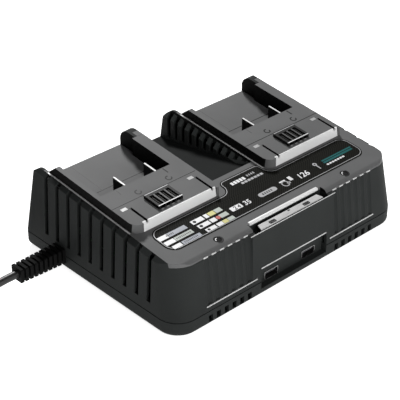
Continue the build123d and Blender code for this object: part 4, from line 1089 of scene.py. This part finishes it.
class CHARGER_OT_bay_parts(bpy.types.Operator):
    """Finish the white painted highlights on the platforms' front faces, the windows, charge lights, terminal
    blocks, contacts in painted shade and guide fins with painted highlights on their tops
    """

    bl_idname = "charger.bay_parts"
    bl_label = "Bay Parts"

    def execute(self, context):
        for side in ("left", "right"):
            # The white bars stand for light on the platforms' front faces: a painted highlight.
            bar = merged_copy(f"status_bar_{side}", f"light_bar_{side}")
            bar.data.materials.append(finishes["bar"])
            round_edges(bar, BAR_ROUNDING)
            finish_piece(bar, "charger", "white_plastic", f"status_bar_{side}")
            block = merged_copy(f"terminal_block_{side}", f"terminals_{side}")
            block.data.materials.append(finishes["black"])
            round_edges(block, BLOCK_ROUNDING)
            finish_piece(block, "charger", "black_plastic", f"terminal_block_{side}")
            fins = merged_copy(f"guide_fins_{side}", f"bay_fins_{side}")
            fins.data.materials.append(finishes["black"])
            fins.data.materials.append(finishes["fin_edge"])
            # The fins' top faces take a white painted highlight.
            for face in fins.data.polygons:
                if face.normal.z > LEVEL_NORMAL:
                    face.material_index = 1
            round_edges(fins, FIN_ROUNDING)
            finish_piece(fins, "charger", "black_plastic", f"guide_fins_{side}")
            # The contact blades take near-black metal as painted shade in their slots.
            dress_node(f"contact_blades_{side}", finishes["contact"])
        dress_node("bay_windows", finishes["window"])
        dress_node("led_lenses", finishes["lens"])
        return {"FINISHED"}


class CHARGER_OT_outlets(bpy.types.Operator):
    """Finish the USB sockets and the icon plate above them"""

    bl_idname = "charger.outlets"
    bl_label = "USB Outlets"

    def execute(self, context):
        plate = merged_copy("usb_icon_plate", "icon_plate")
        plate.data.materials.append(finishes["plate"])
        round_edges(plate, PLATE_ROUNDING)
        finish_piece(plate, "charger", "light_plastic", "usb_icon_plate")
        for side in ("left", "right"):
            shell = merged_copy(f"usb_shell_{side}", f"socket_shell_{side}")
            shell.data.materials.append(finishes["steel"])
            round_edges(shell, SOCKET_ROUNDING)
            finish_piece(shell, "charger", "shell_steel", f"usb_shell_{side}")
            dress_node(f"usb_tongue_{side}", finishes["tongue"])
        return {"FINISHED"}


class CHARGER_OT_inside(bpy.types.Operator):
    """Finish the electronics, the fan, the screws and the feet"""

    bl_idname = "charger.inside"
    bl_label = "Electronics, Fan and Underside"

    def execute(self, context):
        parts = {
            "usb_board": "board",
            "main_board": "board",
            "transformer_core": "ferrite",
            "transformer_winding": "tape",
            "capacitors": "sleeve",
            "choke": "copper",
            "heatsinks": "sink",
            "fuse": "glass",
            "inlet_terminal": "black",
            "fan_frame": "black",
            "fan_rotor": "tongue",
            "rubber_feet": "foot",
            "housing_screws": "screw",
        }
        for node, finish in parts.items():
            dress_node(node, finishes[finish])
        return {"FINISHED"}


# ==== Panel and registration ============================================================
OPERATORS = (
    CHARGER_OT_studio,
    CHARGER_OT_lead,
    CHARGER_OT_shells,
    CHARGER_OT_cover,
    CHARGER_OT_label,
    CHARGER_OT_print,
    CHARGER_OT_cover_marks,
    CHARGER_OT_front_strips,
    CHARGER_OT_bay_parts,
    CHARGER_OT_outlets,
    CHARGER_OT_inside,
)


class CHARGER_PT_panel(bpy.types.Panel):
    """Sizes, colours and steps of the charger's dressing"""

    bl_label = "Battery Charger"
    bl_idname = "CHARGER_PT_panel"
    bl_space_type = "VIEW_3D"
    bl_region_type = "UI"
    bl_category = "Charger"

    def draw(self, context):
        for group in (context.scene.charger_sizes, context.scene.charger_colours):
            for name in group.__annotations__:
                self.layout.prop(group, name)
        for operator in OPERATORS:
            self.layout.operator(operator.bl_idname)


CLASSES = (ChargerSizes, ChargerColours, *OPERATORS, CHARGER_PT_panel)


def register():
    """Register the classes and hang the two groups on the scene."""
    for item in CLASSES:
        bpy.utils.register_class(item)
    bpy.types.Scene.charger_sizes = bpy.props.PointerProperty(type=ChargerSizes)
    bpy.types.Scene.charger_colours = bpy.props.PointerProperty(type=ChargerColours)


def unregister():
    """Take the groups and classes away again."""
    del bpy.types.Scene.charger_colours
    del bpy.types.Scene.charger_sizes
    for item in reversed(CLASSES):
        bpy.utils.unregister_class(item)


def main():
    """Dress the charger, one operator after another."""
    register()
    make_finishes(bpy.context.scene.charger_colours)
    bpy.ops.charger.studio()
    bpy.ops.charger.lead()
    bpy.ops.charger.shells()
    bpy.ops.charger.cover()
    bpy.ops.charger.label()
    bpy.ops.charger.print()
    bpy.ops.charger.cover_marks()
    bpy.ops.charger.front_strips()
    bpy.ops.charger.bay_parts()
    bpy.ops.charger.outlets()
    bpy.ops.charger.inside()


if __name__ == "__main__":
    main()
